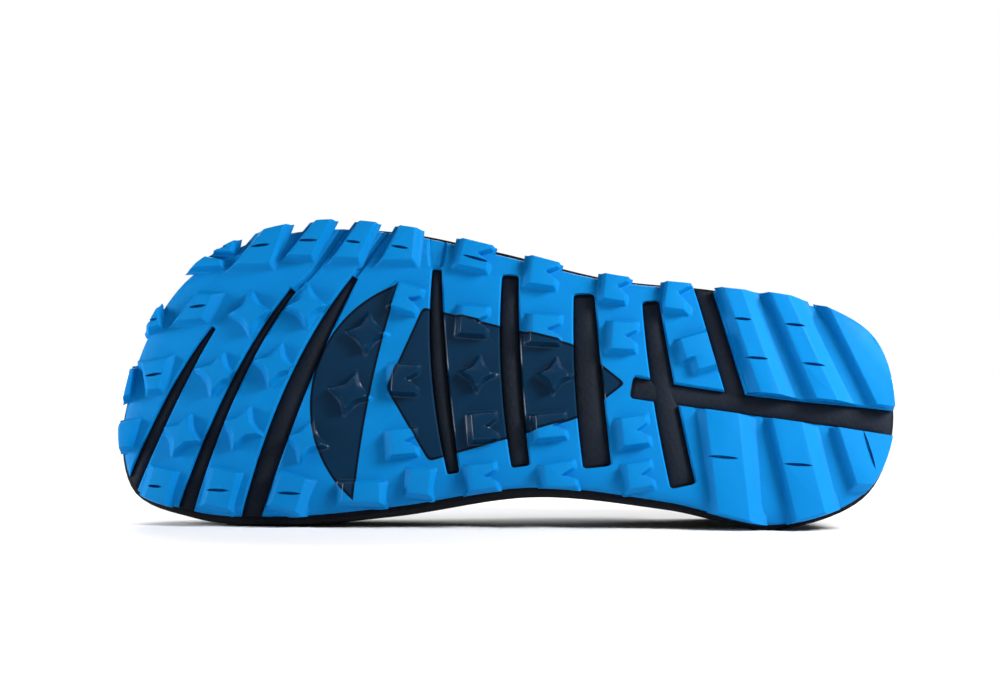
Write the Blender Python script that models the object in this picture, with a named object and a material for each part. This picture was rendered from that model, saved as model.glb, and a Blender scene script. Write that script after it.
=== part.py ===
"""A left trail running shoe, lying empty on its medial side.

The shoe is worked out standing up: X from the heel's back towards the toe, Y towards the lateral side,
Z up from the ground under the lugs. An empty then lays the whole shoe on its side, sole edge and upper
both on the floor, with the sole facing -Y, the toe at -X and the lateral side up.

The last is a ring of ribs. Each rib starts at the sole's edge and climbs the upper to the top line, and
the other pieces are laid on, set inside or cut from the surfaces that the ribs give.
"""

import math
from collections import namedtuple

import bmesh
import bpy
import numpy as np
from mathutils import Matrix, Vector

MM = 0.001

# Driving sizes
LENGTH = 292 * MM
BALL_WIDTH = 112 * MM
COLLAR_HEIGHT = 70 * MM
LUG_HEIGHT = 4.2 * MM
RUBBER = 2.6 * MM
LAST_HEIGHT = 22 * MM
TOE_SPRING = 12 * MM
HEEL_BEVEL = 2.5 * MM
EDGE_LIFT = 1.5 * MM
EDGE_ROUND = 7 * MM
UPPER_WALL = 2.2 * MM
COLLAR_PAD = 5 * MM
TOP_LIP = 1.6 * MM
RIM_WALL = 3.0 * MM
SIDE_BULGE = 0.9 * MM
SIDE_STEP = 1.2 * MM
INSOLE = 4.5 * MM
TONGUE = 5 * MM
OVERLAY = 1.2 * MM
EYESTAY = 17 * MM
LACE = 3.4 * MM
TAPE = 1.6 * MM
LOOP_WIDTH = 10 * MM
LOOP_HEIGHT = 17 * MM
GAP = 0.3 * MM
LOOSE = 1.0 * MM

# The tables are drawn on a chart this many units long, wide and high. A unit is that share of LENGTH
# along the shoe, of BALL_WIDTH across it and of COLLAR_HEIGHT up it, and all their lengths are such units.
CHART_LENGTH = 292
CHART_WIDTH = 112
CHART_HEIGHT = 70

# The sole's edge, from the heel's back along the lateral side to the toe and home along the medial side.
# foam: how far the midsole stands out past the rubber. inset: from the rubber's edge in to the upper's
# foot. rim: how high the midsole's lip stands round the upper. proud: how far lugs stand out past the edge.
SoleRib = namedtuple("SoleRib", "name along across foam inset rim proud")
SOLE_RIBS = (
    SoleRib("heel back", 0.5, -15, 0.4, 6.5, 9, 0.4),
    SoleRib("heel corner lateral", 7.8, 10.5, 0.2, 7.0, 9, 0.4),
    SoleRib("heel lateral", 26, 22.0, 0.3, 7.2, 9, 0.6),
    SoleRib("heel front lateral", 66, 29.3, 0.9, 5.5, 8, 1.0),
    SoleRib("waist lateral", 105, 33.6, 1.1, 3.6, 7, 1.6),
    SoleRib("midfoot lateral", 150, 44.8, 1.4, 3.4, 6, 2.0),
    SoleRib("ball rear lateral", 185, 52.8, 1.0, 3.8, 5, 2.2),
    SoleRib("ball lateral", 218, 54.8, 0.2, 4.2, 5, 2.6),
    SoleRib("little toe", 245, 49.6, 0.2, 4.6, 4, 2.2),
    SoleRib("fourth toe", 267, 37, 0.2, 5.0, 4, 1.8),
    SoleRib("third toe", 281, 17.5, 0.3, 5.2, 4, 1.6),
    SoleRib("second toe", 288.5, -5, 0.4, 5.4, 4, 1.6),
    SoleRib("toe tip", 291, -24, 0.5, 5.4, 4, 1.4),
    SoleRib("big toe corner", 286, -42, 0.6, 5.0, 4, 1.0),
    SoleRib("big toe medial", 264, -51.5, 1.2, 4.4, 4, 0.8),
    SoleRib("ball medial", 228, -54.5, 1.8, 3.6, 5, 0.8),
    SoleRib("ball rear medial", 190, -51.6, 1.8, 3.2, 6, 0.8),
    SoleRib("arch medial", 134, -44.6, 1.4, 2.8, 8, 0.8),
    SoleRib("heel front medial", 86, -50.6, 1.6, 5.4, 9, 0.8),
    SoleRib("heel medial", 42, -59.2, 0.6, 8.0, 9, 0.6),
    SoleRib("heel corner medial", 11, -46.5, 0.4, 7.5, 9, 0.4),
)

# How the rib of the same name climbs from the upper's foot to the top line. top: its upper end on the
# chart, up counted from the last's floor. rise: its start goes straight up this share of its height,
# leaning out by bulge. run, drop: its end comes in along this share of its reach, from this share
# of its height below. pad: share of the collar's padding. guard: share of the rib under the base's panels.
UpperRib = namedtuple("UpperRib", "name top_along top_across top_up rise bulge run drop pad guard")
UPPER_RIBS = (
    UpperRib("heel back", 11.0, -16.5, 72, 0.42, 2.6, 0.10, 0.36, 0.9, 0.60),
    UpperRib("heel corner lateral", 17.0, 2.0, 70, 0.42, 2.4, 0.10, 0.36, 1.0, 0.58),
    UpperRib("heel lateral", 36.0, 11.5, 61, 0.42, 1.8, 0.12, 0.38, 1.0, 0.54),
    UpperRib("heel front lateral", 67.0, 15.5, 53, 0.44, 1.4, 0.16, 0.40, 1.0, 0.40),
    UpperRib("waist lateral", 97.0, 13.5, 60, 0.46, 1.4, 0.28, 0.36, 0.7, 0.24),
    UpperRib("midfoot lateral", 127.0, 11.5, 72, 0.50, 1.4, 0.45, 0.26, 0.1, 0.19),
    UpperRib("ball rear lateral", 158.0, 12.5, 62, 0.60, 1.6, 0.56, 0.16, 0.0, 0.19),
    UpperRib("ball lateral", 186.0, 11.0, 50, 0.74, 1.6, 0.58, 0.10, 0.0, 0.20),
    UpperRib("little toe", 199.0, 9.0, 45.5, 0.84, 1.4, 0.58, 0.08, 0.0, 0.22),
    UpperRib("fourth toe", 205.0, 6.0, 43.6, 0.92, 1.2, 0.58, 0.08, 0.0, 0.26),
    UpperRib("third toe", 207.6, 2.8, 42.8, 0.95, 1.2, 0.57, 0.08, 0.0, 0.31),
    UpperRib("second toe", 208.6, -0.2, 42.6, 0.97, 1.2, 0.56, 0.08, 0.0, 0.34),
    UpperRib("toe tip", 208.4, -3.2, 42.6, 0.97, 1.2, 0.56, 0.08, 0.0, 0.34),
    UpperRib("big toe corner", 206.6, -6.2, 42.8, 0.95, 1.2, 0.57, 0.08, 0.0, 0.31),
    UpperRib("big toe medial", 201.5, -9.4, 44.5, 0.92, 1.4, 0.58, 0.08, 0.0, 0.24),
    UpperRib("ball medial", 188.0, -12.0, 49.5, 0.82, 1.6, 0.58, 0.08, 0.0, 0.20),
    UpperRib("ball rear medial", 162.0, -15.0, 60, 0.68, 1.6, 0.56, 0.12, 0.0, 0.19),
    UpperRib("arch medial", 125.0, -20.5, 73, 0.50, 0.8, 0.42, 0.26, 0.1, 0.19),
    UpperRib("heel front medial", 86.0, -38.5, 58, 0.44, 1.0, 0.16, 0.38, 0.8, 0.34),
    UpperRib("heel medial", 46.0, -47.5, 59, 0.42, 1.8, 0.12, 0.38, 1.0, 0.54),
    UpperRib("heel corner medial", 18.0, -34.5, 69, 0.42, 2.4, 0.10, 0.36, 1.0, 0.58),
)

# Slots through the rubber: a bent centre line and three widths, from its outer tip to its inner end.
Slot = namedtuple("Slot", "name along0 across0 along1 across1 along2 across2 wide0 wide1 wide2")
SLOTS = (
    Slot("toe slot one", 256.4, 17.5, 272.0, -8.5, 289.5, -47, 1.8, 4.6, 5.0),
    Slot("toe slot two", 226.3, 31.0, 249.2, -7.0, 269.0, -60, 2.6, 4.2, 6.6),
    Slot("toe slot three", 202.8, 35.5, 225.0, -7.0, 243.4, -62, 2.6, 8.2, 7.0),
    Slot("waist slot one", 171.6, 38.0, 171.0, 1.0, 166.0, -38.5, 3.6, 6.0, 4.6),
    Slot("waist slot two", 143.8, 35.0, 144.0, 0.0, 140.8, -36.0, 6.4, 7.6, 7.0),
    Slot("waist slot three", 116.0, 27.5, 114.8, -5.0, 112.2, -36.5, 8.0, 10.4, 10.6),
    Slot("waist slot four", 90.8, 24.5, 86.6, -9.0, 80.4, -44.0, 6.6, 8.8, 9.6),
    Slot("heel channel", 97.5, -7.5, 50.0, -15.2, -8.0, -22.4, 8.6, 7.8, 10.4),
    Slot("heel cross slot", 74.5, 44.0, 67.8, 19.0, 59.6, -11.0, 6.8, 6.8, 7.2),
)

# The lateral heel pad is the rubber on this side of a line down the middle of the two heel slots.
PAD_BORDER = (
    (-12, -22.9), (10, -20.6), (50, -15.2), (60.5, -12.6), (67.8, 19.0), (74.5, 44), (70, 60), (-12, 60),
)

# Long lugs, by the four corners of their flat tops. toe_run, side_run, heel_run: how far the faces on
# those sides run out to the foot.
Ridge = namedtuple("Ridge", "name toe_medial toe_lateral heel_lateral heel_medial toe_run side_run heel_run")
RIDGES = (
    Ridge("pad ridge front", (50.3, -12.5), (64.0, 31.5), (57.5, 31.5), (42.5, -13.0), 3.2, 0.9, 5.0),
    Ridge("pad ridge middle", (29.3, -14.5), (46.2, 28.5), (40.0, 28.5), (21.0, -15.5), 3.0, 0.9, 5.4),
    Ridge("pad ridge back", (6.2, -17.5), (25.3, 24.0), (8.0, 30.0), (-8.0, -16.0), 3.0, 0.9, 1.0),
    Ridge("heel ridge front", (67.8, -56.0), (71.8, -16.5), (59.0, -18.0), (56.0, -60.0), 2.6, 0.9, 6.0),
    Ridge("heel ridge middle", (38.3, -61.0), (47.2, -18.5), (36.0, -19.0), (27.0, -60.0), 2.4, 0.9, 5.4),
    Ridge("heel ridge back", (16.0, -45.5), (22.8, -22.0), (-6.0, -20.0), (0.0, -45.5), 2.6, 2.2, 1.0),
    Ridge("outer one", (264.5, 40.6), (260.5, 44.8), (253.8, 43.2), (253.5, 40.6), 1.4, 0.9, 1.4),
    Ridge("outer two", (256.6, 46.8), (252.0, 51.5), (248.8, 51.5), (249.8, 46.0), 0.9, 0.4, 2.0),
    Ridge("outer three", (248.2, 41.0), (234.0, 57.5), (228.5, 57.5), (234.7, 41.0), 1.6, 2.4, 2.0),
    Ridge("outer four", (228.0, 44.2), (216.0, 58.5), (211.0, 58.5), (218.8, 43.4), 1.2, 1.6, 1.4),
    Ridge("outer five", (210.6, 42.8), (200.0, 57.5), (194.5, 57.5), (201.0, 42.4), 1.2, 2.4, 1.4),
    Ridge("outer six", (192.4, 41.6), (184.5, 56.0), (179.4, 55.5), (180.6, 41.6), 1.4, 2.4, 2.4),
    Ridge("toe one", (270.6, 20.4), (262.2, 30.2), (256.2, 29.6), (260.8, 20.6), 1.2, 1.8, 3.0),
    Ridge("toe two", (281.4, 17.6), (283.6, 23.6), (278.2, 25.4), (277.2, 19.2), 1.2, 1.6, 1.4),
    Ridge("toe three", (281.4, -6.0), (283.6, 4.6), (273.6, 6.0), (276.6, -5.6), 1.2, 1.6, 1.8),
    Ridge("toe four", (293.0, -9.0), (291.2, 2.2), (287.0, 2.6), (288.8, -7.4), 0.8, 1.0, 1.2),
    Ridge("toe five", (294.0, -27.5), (292.0, -18.2), (286.0, -17.0), (288.8, -27.0), 0.8, 1.0, 1.6),
)

# Short lugs, each a tapered block. travel and wide: its flat top along and across its heading, which is
# turned from the shoe's own. cut: depth of the notch in the heel end, as a share of travel; for a star,
# depth of the notches between its points.
Lug = namedtuple("Lug", "kind along across travel wide turn toe_run heel_run cut")
LUGS = (
    Lug("notched", 131.2, 36.8, 10.0, 11.0, 10, 2.2, 1.0, 0.46),
    Lug("notched", 131.0, 14.5, 10.5, 10.5, 4, 2.4, 1.0, 0.46),
    Lug("notched", 129.4, -22.4, 10.5, 9.0, -4, 2.2, 1.0, 0.46),
    Lug("notched", 126.2, -41.2, 11.0, 9.5, -8, 2.2, 1.0, 0.46),
    Lug("notched", 104.2, 30.8, 8.4, 11.0, 10, 2.0, 1.0, 0.46),
    Lug("notched", 101.6, 11.6, 9.0, 10.5, 4, 2.2, 1.0, 0.46),
    Lug("notched", 98.0, -24.6, 9.5, 10.5, -6, 2.2, 1.0, 0.46),
    Lug("notched", 96.6, -41.4, 9.0, 9.5, -8, 2.0, 1.0, 0.46),
    Lug("notched", 156.8, 44.2, 11.0, 12.0, 14, 2.2, 1.0, 0.46),
    Lug("notched", 157.8, 18.0, 9.5, 10.5, 5, 2.2, 1.0, 0.46),
    Lug("notched", 154.4, -22.4, 8.5, 10.0, -4, 2.2, 1.0, 0.46),
    Lug("notched", 155.0, -41.4, 9.5, 9.5, -6, 2.2, 1.0, 0.46),
    Lug("block", 81.2, 28.0, 8.0, 13.0, 10, 1.6, 2.4, 0.0),
    Lug("block", 73.6, 5.2, 9.0, 12.5, -16, 1.8, 2.6, 0.0),
    Lug("star", 242.0, 22.4, 10.5, 10.5, 45, 1.0, 1.0, 0.18),
    Lug("star", 254.6, -0.4, 10.5, 10.5, 60, 1.0, 1.0, 0.18),
    Lug("star", 268.0, -23.2, 10.5, 10.5, 68, 1.0, 1.0, 0.18),
    Lug("star", 220.6, 24.4, 10.0, 10.0, 45, 1.0, 1.0, 0.18),
    Lug("star", 232.6, 2.0, 10.5, 10.5, 60, 1.0, 1.0, 0.18),
    Lug("star", 245.2, -21.4, 10.5, 10.5, 66, 1.0, 1.0, 0.18),
    Lug("star", 220.8, -27.0, 10.0, 10.0, 60, 1.0, 1.0, 0.18),
    Lug("block", 276.2, -42.6, 8.3, 13.0, 16, 2.0, 1.6, 0.0),
    Lug("block", 252.6, -44.4, 9.4, 14.0, 14, 2.2, 1.8, 0.0),
    Lug("block", 227.2, -46.4, 10.0, 13.0, 18, 2.4, 3.4, 0.0),
    Lug("block", 200.0, -46.8, 14.0, 7.6, 2, 2.4, 2.4, 0.0),
    Lug("block", 178.2, -43.0, 7.5, 9.6, 6, 2.0, 1.6, 0.0),
    Lug("star", 198.0, 14.0, 9.5, 9.5, 50, 1.0, 1.0, 0.18),
    Lug("star", 156.4, -2.0, 8.5, 8.5, 50, 0.8, 0.8, 0.18),
    Lug("star", 127.6, -3.0, 8.5, 8.5, 50, 0.8, 0.8, 0.18),
    Lug("star", 204.4, -9.0, 10.0, 10.0, 60, 1.0, 1.0, 0.18),
    Lug("notched", 183.0, 27.0, 9.0, 9.5, 20, 2.0, 1.0, 0.46),
    Lug("notched", 184.0, -4.0, 9.0, 10.5, 4, 2.0, 1.0, 0.46),
    Lug("notched", 184.5, -28.0, 9.0, 9.5, -4, 2.0, 1.0, 0.46),
)
LUG_OUTLINES = {
    "block": lambda cut: ((0.5, -0.5), (0.5, 0.5), (-0.5, 0.5), (-0.5, -0.5)),
    "notched": lambda cut: (
        (0.5, -0.5), (0.5, 0.5), (-0.5, 0.5), (-0.5, 0.28), (-0.5 + cut, 0), (-0.5, -0.28), (-0.5, -0.5),
    ),
    "star": lambda cut: (
        (0.5, -0.5), (0.5 - cut, 0), (0.5, 0.5), (0, 0.5 - cut),
        (-0.5, 0.5), (-0.5 + cut, 0), (-0.5, -0.5), (0, -0.5 + cut),
    ),
}
SIDE_RUN = 0.9
NOTCH_RUN = 0.3
LUG_SINK = 0.4

# Panels laid on the upper: from one rib to another, between two of the upper's rows.
Panel = namedtuple("Panel", "name first last low high")
PANELS = (
    Panel("toe_cap", "little toe", "big toe medial", 2, 4),
    Panel("lateral_guard", "heel front lateral", "little toe", 2, 4),
    Panel("medial_guard", "big toe medial", "heel front medial", 2, 4),
    Panel("heel_counter", "heel front medial", "heel front lateral", 2, 4),
    Panel("eyestay", "waist lateral", "heel front medial", 7, 9),
)
PANEL_EDGE = 0.12
PANEL_SEAM = 0.04
EYELET_ALONG = (134, 147, 160, 173, 186)

# The tongue under the throat: along, and how far each wing reaches down under the upper. Above the
# throat: how far on, how far up and how wide as a share.
TongueRow = namedtuple("TongueRow", "along wing")
TONGUE_WINGS = (
    TongueRow(203, 15), TongueRow(192, 15), TongueRow(180, 15), TongueRow(167, 14), TongueRow(154, 13),
    TongueRow(141, 10), TongueRow(129, 5),
)
TongueEnd = namedtuple("TongueEnd", "on up width")
TONGUE_TOP = (
    TongueEnd(9, 0.5, 0.74), TongueEnd(18, 2.0, 0.80), TongueEnd(27, 4.5, 0.86), TongueEnd(31, 6.5, 0.80),
)
TONGUE_FRONT = (
    ("fourth toe", 19), ("third toe", 15), ("second toe", 12.5), ("second toe", 11.5), ("toe tip", 12.5),
    ("big toe corner", 15), ("big toe medial", 19),
)

HALF_RIBS = 28
ACROSS_SHARES = (0, 0.05, 0.13, 0.28, 0.43, 0.57, 0.72, 0.87, 0.95, 1)

COLOURS = {
    "outsole": (0.000, 0.365, 0.830), "foam": (0.028, 0.035, 0.050), "mesh": (0.030, 0.036, 0.045),
    "film": (0.012, 0.014, 0.018), "lining": (0.016, 0.020, 0.026), "tape": (0.000, 0.300, 0.700),
}


def along(value):
    return value * LENGTH / CHART_LENGTH


def across(value):
    return value * BALL_WIDTH / CHART_WIDTH


def up(value):
    return value * COLLAR_HEIGHT / CHART_HEIGHT


def plan(point):
    """A chart point in metres."""
    return np.array([along(point[0]), across(point[1])])


def unit(vectors):
    return vectors / np.linalg.norm(vectors, axis=-1, keepdims=True)


EDGE_POINTS = np.array([plan((rib.along, rib.across)) for rib in SOLE_RIBS])
EDGE_STEPS = np.roll(EDGE_POINTS, -1, axis=0) - EDGE_POINTS
KNOTS = np.concatenate([[0], np.cumsum(np.linalg.norm(EDGE_STEPS, axis=1))])
PLACE = {rib.name: KNOTS[i] for i, rib in enumerate(SOLE_RIBS)}
ROUND = KNOTS[-1]
TOE = PLACE["toe tip"]


def column(rows, name, where):
    """A table column at distances round the sole's edge: cubic pieces through its rows, closed."""
    values = np.array([getattr(row, name) for row in rows], float)
    where = np.mod(np.asarray(where, float), ROUND)
    steps = np.diff(KNOTS)
    slopes = (np.roll(values, -1) - values) / steps
    slopes_before, steps_before = np.roll(slopes, 1), np.roll(steps, 1)
    tangents = (slopes * steps_before + slopes_before * steps) / (steps + steps_before)
    i = np.clip(np.searchsorted(KNOTS, where, side="right") - 1, 0, len(values) - 1)
    j = (i + 1) % len(values)
    s = (where - KNOTS[i]) / steps[i]
    rest = 1 - s
    return (
        values[i] * (1 + 2 * s) * rest**2
        + values[j] * s**2 * (3 - 2 * s)
        + steps[i] * s * rest * (tangents[i] * rest - tangents[j] * s)
    )


def edge(where):
    """Plan points of the rubber's edge, and the directions out of it."""
    where = np.asarray(where, float)

    def place(at):
        x, y = column(SOLE_RIBS, "along", at), column(SOLE_RIBS, "across", at)
        return np.stack([along(x), across(y)], axis=-1)

    ahead = unit(place(where + MM) - place(where - MM))
    return place(where), np.stack([-ahead[..., 1], ahead[..., 0]], axis=-1)


EDGE_LINE = edge(np.linspace(0, ROUND, 300, endpoint=False))[0]


def spring(x):
    """How far the toe turns up at x."""
    start = 0.70 * LENGTH
    return TOE_SPRING * np.clip((x - start) / (LENGTH - start), 0, None) ** 2


def ground(x):
    """The lugs' treading surface."""
    start = 0.09 * LENGTH
    return spring(x) + HEEL_BEVEL * np.clip((start - x) / start, 0, None) ** 2


def edge_lift(points):
    """How far the rubber's rounded edge turns up at plan points."""
    points = np.asarray(points, float)
    reach = np.linalg.norm(points[..., None, :] - EDGE_LINE, axis=-1).min(axis=-1)
    return EDGE_LIFT * np.clip(1 - reach / EDGE_ROUND, 0, 1) ** 2


def rubber_under(points):
    points = np.asarray(points, float)
    return ground(points[..., 0]) + LUG_HEIGHT + edge_lift(points)


def last_floor(x):
    return spring(x) + LAST_HEIGHT


def with_height(points, heights):
    return np.concatenate([points, np.asarray(heights)[..., None]], axis=-1)


# Rib stations: evenly spaced up each side, shared by the sole and the upper
SIDE = np.arange(HALF_RIBS + 1) / HALF_RIBS
STATIONS = np.concatenate([SIDE[:-1] * TOE, TOE + SIDE[:-1] * (ROUND - TOE)])
COUNT = len(STATIONS)


def ring(out, height):
    """The edge at every station, moved out, at given heights."""
    points, away = edge(STATIONS)
    points = points + away * np.asarray(out)[..., None] * np.ones((COUNT, 1))
    return with_height(points, height(points) if callable(height) else height)


def upper_path(where, shares):
    """Points of the upper's outside: for each place round the edge, at shares of its rib's length."""
    where = np.asarray(where, float)
    shares = np.asarray(shares, float)
    points, away = edge(where)
    foot_plan = points - away * across(column(SOLE_RIBS, "inset", where))[..., None]
    foot = with_height(foot_plan, last_floor(foot_plan[..., 0]) + GAP)
    top_along, top_across = column(UPPER_RIBS, "top_along", where), column(UPPER_RIBS, "top_across", where)
    top_plan = np.stack([along(top_along), across(top_across)], axis=-1)
    top = with_height(top_plan, LAST_HEIGHT + up(column(UPPER_RIBS, "top_up", where)))
    height = (top - foot)[..., 2]
    reach = np.concatenate([top_plan - foot_plan, np.zeros(where.shape + (1,))], axis=-1)
    lift = np.array([0, 0, 1.0])
    bulge = np.concatenate([away, np.zeros(where.shape + (1,))], axis=-1)
    first = foot + lift * (column(UPPER_RIBS, "rise", where) * height)[..., None]
    first = first + bulge * across(column(UPPER_RIBS, "bulge", where))[..., None]
    last = top - reach * column(UPPER_RIBS, "run", where)[..., None]
    last = last - lift * (column(UPPER_RIBS, "drop", where) * height)[..., None]
    s = np.linspace(0, 1, 41)[:, None]
    curve = (
        foot[..., None, :] * (1 - s) ** 3
        + first[..., None, :] * 3 * s * (1 - s) ** 2
        + last[..., None, :] * 3 * s**2 * (1 - s)
        + top[..., None, :] * s**3
    )
    steps = np.linalg.norm(np.diff(curve, axis=-2), axis=-1)
    gone = np.concatenate([np.zeros(where.shape + (1,)), np.cumsum(steps, axis=-1)], axis=-1)
    flat_curve, flat_gone = curve.reshape(-1, 41, 3), gone.reshape(-1, 41)
    flat_shares = np.broadcast_to(shares, where.shape + shares.shape[-1:]).reshape(len(flat_gone), -1)
    found = np.array(
        [
            [np.interp(share * g[-1], g, c[:, axis]) for axis in range(3)]
            for g, c, row in zip(flat_gone, flat_curve, flat_shares)
            for share in row
        ]
    )
    return found.reshape(where.shape + (shares.shape[-1], 3)), gone[..., -1]


def upper_sheet(where, shares):
    """The upper's outside and the directions out of it."""
    here, length = upper_path(where, shares)
    along_ring = upper_path(where + MM, shares)[0] - upper_path(where - MM, shares)[0]
    above, below = np.clip(shares + 0.01, 0, 1), np.clip(shares - 0.01, 0, 1)
    up_rib = upper_path(where, above)[0] - upper_path(where, below)[0]
    return here, unit(np.cross(up_rib, along_ring)), length


def wall_of(where, shares):
    """The upper's thickness, with the collar's padding."""
    swell = np.clip((shares - 0.52) / 0.46, 0, 1)
    pad = np.sin(math.pi * np.clip(swell, 0, 1) ** 1.3) ** 2
    return UPPER_WALL + COLLAR_PAD * np.clip(column(UPPER_RIBS, "pad", where), 0, 1)[..., None] * pad


LENGTHS = upper_path(STATIONS, np.array([0.0, 1.0]))[1]
RIM = up(column(SOLE_RIBS, "rim", STATIONS)) / LENGTHS
GUARD = column(UPPER_RIBS, "guard", STATIONS)
STAY = 1 - np.clip(EYESTAY / LENGTHS, 0.1, 0.5)
SHARES = np.stack(
    [
        0 * RIM, RIM / 2, RIM, (RIM + GUARD) / 2, GUARD, GUARD + (STAY - GUARD) / 3,
        GUARD + (STAY - GUARD) * 2 / 3, STAY, (STAY + 1) / 2, 1 - TOP_LIP / LENGTHS,
    ],
    axis=-1,
)
SHEET, NORMALS, LENGTHS = upper_sheet(STATIONS, SHARES)
INSIDE = SHEET - NORMALS * wall_of(STATIONS, SHARES)[..., None]
TOP_LINE = upper_path(STATIONS, np.array([1.0]))[0][:, 0] - NORMALS[:, -1] * UPPER_WALL / 2


def chord_grid(border, height=None):
    """Rows across the sole between the two sides of a closed border, heel to toe, at ACROSS_SHARES."""
    shares = np.array(ACROSS_SHARES)[:, None]
    rows = []
    for i in range(1, HALF_RIBS):
        lateral, medial = border[i], border[COUNT - i]
        row = lateral * (1 - shares) + medial * shares
        if height is not None:
            row[1:-1, 2] = height(row[1:-1, :2])
        rows.append(row)
    return rows


def mesh_object(name, bm, collection, colour=None, roughness=0.8, sharp=38):
    bmesh.ops.recalc_face_normals(bm, faces=bm.faces)
    mesh = bpy.data.meshes.new(name)
    bm.to_mesh(mesh)
    bm.free()
    mesh.shade_smooth()
    mesh.set_sharp_from_angle(angle=math.radians(sharp))
    made = bpy.data.objects.new(name, mesh)
    collection.objects.link(made)
    if colour:
        paint(made, colour, roughness)
    else:
        made.hide_render = True
        made.display_type = "WIRE"
    return made


def paint(target, colour, roughness):
    material = bpy.data.materials.new(target.name)
    material.use_nodes = True
    shader = material.node_tree.nodes["Principled BSDF"]
    shader.inputs["Base Color"].default_value = (*COLOURS[colour], 1)
    shader.inputs["Roughness"].default_value = roughness
    target.data.materials.clear()
    target.data.materials.append(material)


def dish(rings, low_height=None, high_height=None):
    """A solid between a low and a high border, with side rings between them. The ends close on the chords."""
    bm = bmesh.new()
    sides = [[bm.verts.new(p) for p in border] for border in rings]
    for low, high in zip(sides, sides[1:]):
        for i in range(COUNT):
            j = (i + 1) % COUNT
            bm.faces.new((low[i], low[j], high[j], high[i]))
    for verts, border, height in ((sides[0], rings[0], low_height), (sides[-1], rings[-1], high_height)):
        rows = []
        for i, row in enumerate(chord_grid(border, height), start=1):
            middle = [bm.verts.new(p) for p in row[1:-1]]
            rows.append([verts[i], *middle, verts[COUNT - i]])
        for a, b in zip(rows, rows[1:]):
            for k in range(len(a) - 1):
                bm.faces.new((a[k], a[k + 1], b[k + 1], b[k]))
        for tip, row in ((verts[0], rows[0]), (verts[HALF_RIBS], rows[-1])):
            for k in range(len(row) - 1):
                bm.faces.new((tip, row[k], row[k + 1]))
    return bm


def sheet_solid(low, high, closed):
    """A solid between two grids of points, columns first, round the ring when closed."""
    bm = bmesh.new()
    columns = [[bm.verts.new(p) for p in (*a, *b[::-1])] for a, b in zip(low, high)]
    pairs = list(zip(columns, columns[1:]))
    if closed:
        pairs.append((columns[-1], columns[0]))
    for a, b in pairs:
        for k in range(len(a)):
            m = (k + 1) % len(a)
            bm.faces.new((a[k], b[k], b[m], a[m]))
    if not closed:
        half = len(low[0])
        for rim in (columns[0], columns[-1]):
            for k in range(half - 1):
                bm.faces.new((rim[k], rim[k + 1], rim[-2 - k], rim[-1 - k]))
    return bm


def prism(outline, low, high):
    bm = bmesh.new()
    verts = [bm.verts.new((p[0], p[1], low)) for p in outline]
    face = bm.faces.new(verts)
    made = bmesh.ops.extrude_face_region(bm, geom=[face])["geom"]
    lifted = [piece for piece in made if isinstance(piece, bmesh.types.BMVert)]
    bmesh.ops.translate(bm, vec=(0, 0, high - low), verts=lifted)
    return bm


def through(a, b, c, s):
    """The bent line through three points."""
    return a * (1 - s) * (1 - 2 * s) + b * 4 * s * (1 - s) + c * s * (2 * s - 1)


def slot_outline(slot, steps=7):
    ends = np.array([(slot.along0, slot.across0), (slot.along1, slot.across1), (slot.along2, slot.across2)])
    shares = np.linspace(0, 1, steps)
    line = np.array([through(*ends, s) for s in shares])
    ahead = unit(np.gradient(line, axis=0))
    away = np.stack([-ahead[:, 1], ahead[:, 0]], axis=-1)
    half = np.array([through(slot.wide0, slot.wide1, slot.wide2, s) for s in shares])[:, None] / 2
    tips = (line[0] - ahead[0] * half[0] * 0.5, line[-1] + ahead[-1] * half[-1] * 0.4)
    return [plan(p) for p in (tips[0], *(line + away * half), tips[1], *(line - away * half)[::-1])]


def lug_outline(lug):
    """A lug's top on the chart, and how far the face on each of its sides runs out."""
    turn = math.radians(lug.turn)
    ahead = np.array([math.cos(turn), math.sin(turn)])
    side = np.array([-math.sin(turn), math.cos(turn)])
    shape = LUG_OUTLINES[lug.kind](lug.cut)
    centre = np.array([lug.along, lug.across])
    tops = [centre + ahead * a * lug.travel + side * b * lug.wide for a, b in shape]
    runs = {
        "block": (lug.toe_run, SIDE_RUN, lug.heel_run, SIDE_RUN),
        "notched": (lug.toe_run, SIDE_RUN, lug.heel_run, NOTCH_RUN, NOTCH_RUN, lug.heel_run, SIDE_RUN),
        "star": (lug.toe_run,) * 8,
    }
    return tops, runs[lug.kind]


def ridge_outline(ridge):
    tops = list(np.array([ridge.toe_medial, ridge.toe_lateral, ridge.heel_lateral, ridge.heel_medial]))
    return tops, (ridge.toe_run, ridge.side_run, ridge.heel_run, ridge.side_run)


def run_out(tops, runs):
    """The outline with each side moved out by its run."""
    feet = []
    for k, here in enumerate(tops):
        sides = unit(np.array([here - tops[k - 1], tops[(k + 1) % len(tops)] - here]))
        away = np.stack([sides[:, 1], -sides[:, 0]], axis=-1)
        feet.append(here + np.linalg.solve(away, np.array([runs[k - 1], runs[k]])))
    return feet


def lug_solid(bm, outline):
    tops, runs = outline
    feet = [plan(p) for p in run_out(tops, runs)]
    tops = [plan(p) for p in tops]
    high = [bm.verts.new((*p, ground(p[0]))) for p in tops]
    low = [bm.verts.new((*p, rubber_under(p) + RUBBER * LUG_SINK)) for p in feet]
    bm.faces.new(high)
    bm.faces.new(low)
    for k in range(len(high)):
        m = (k + 1) % len(high)
        bm.faces.new((high[k], low[k], low[m], high[m]))


def boolean(target, cutter, operation):
    change = target.modifiers.new(cutter.name, "BOOLEAN")
    change.object = cutter
    change.operation = operation
    change.solver = "EXACT"


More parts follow.
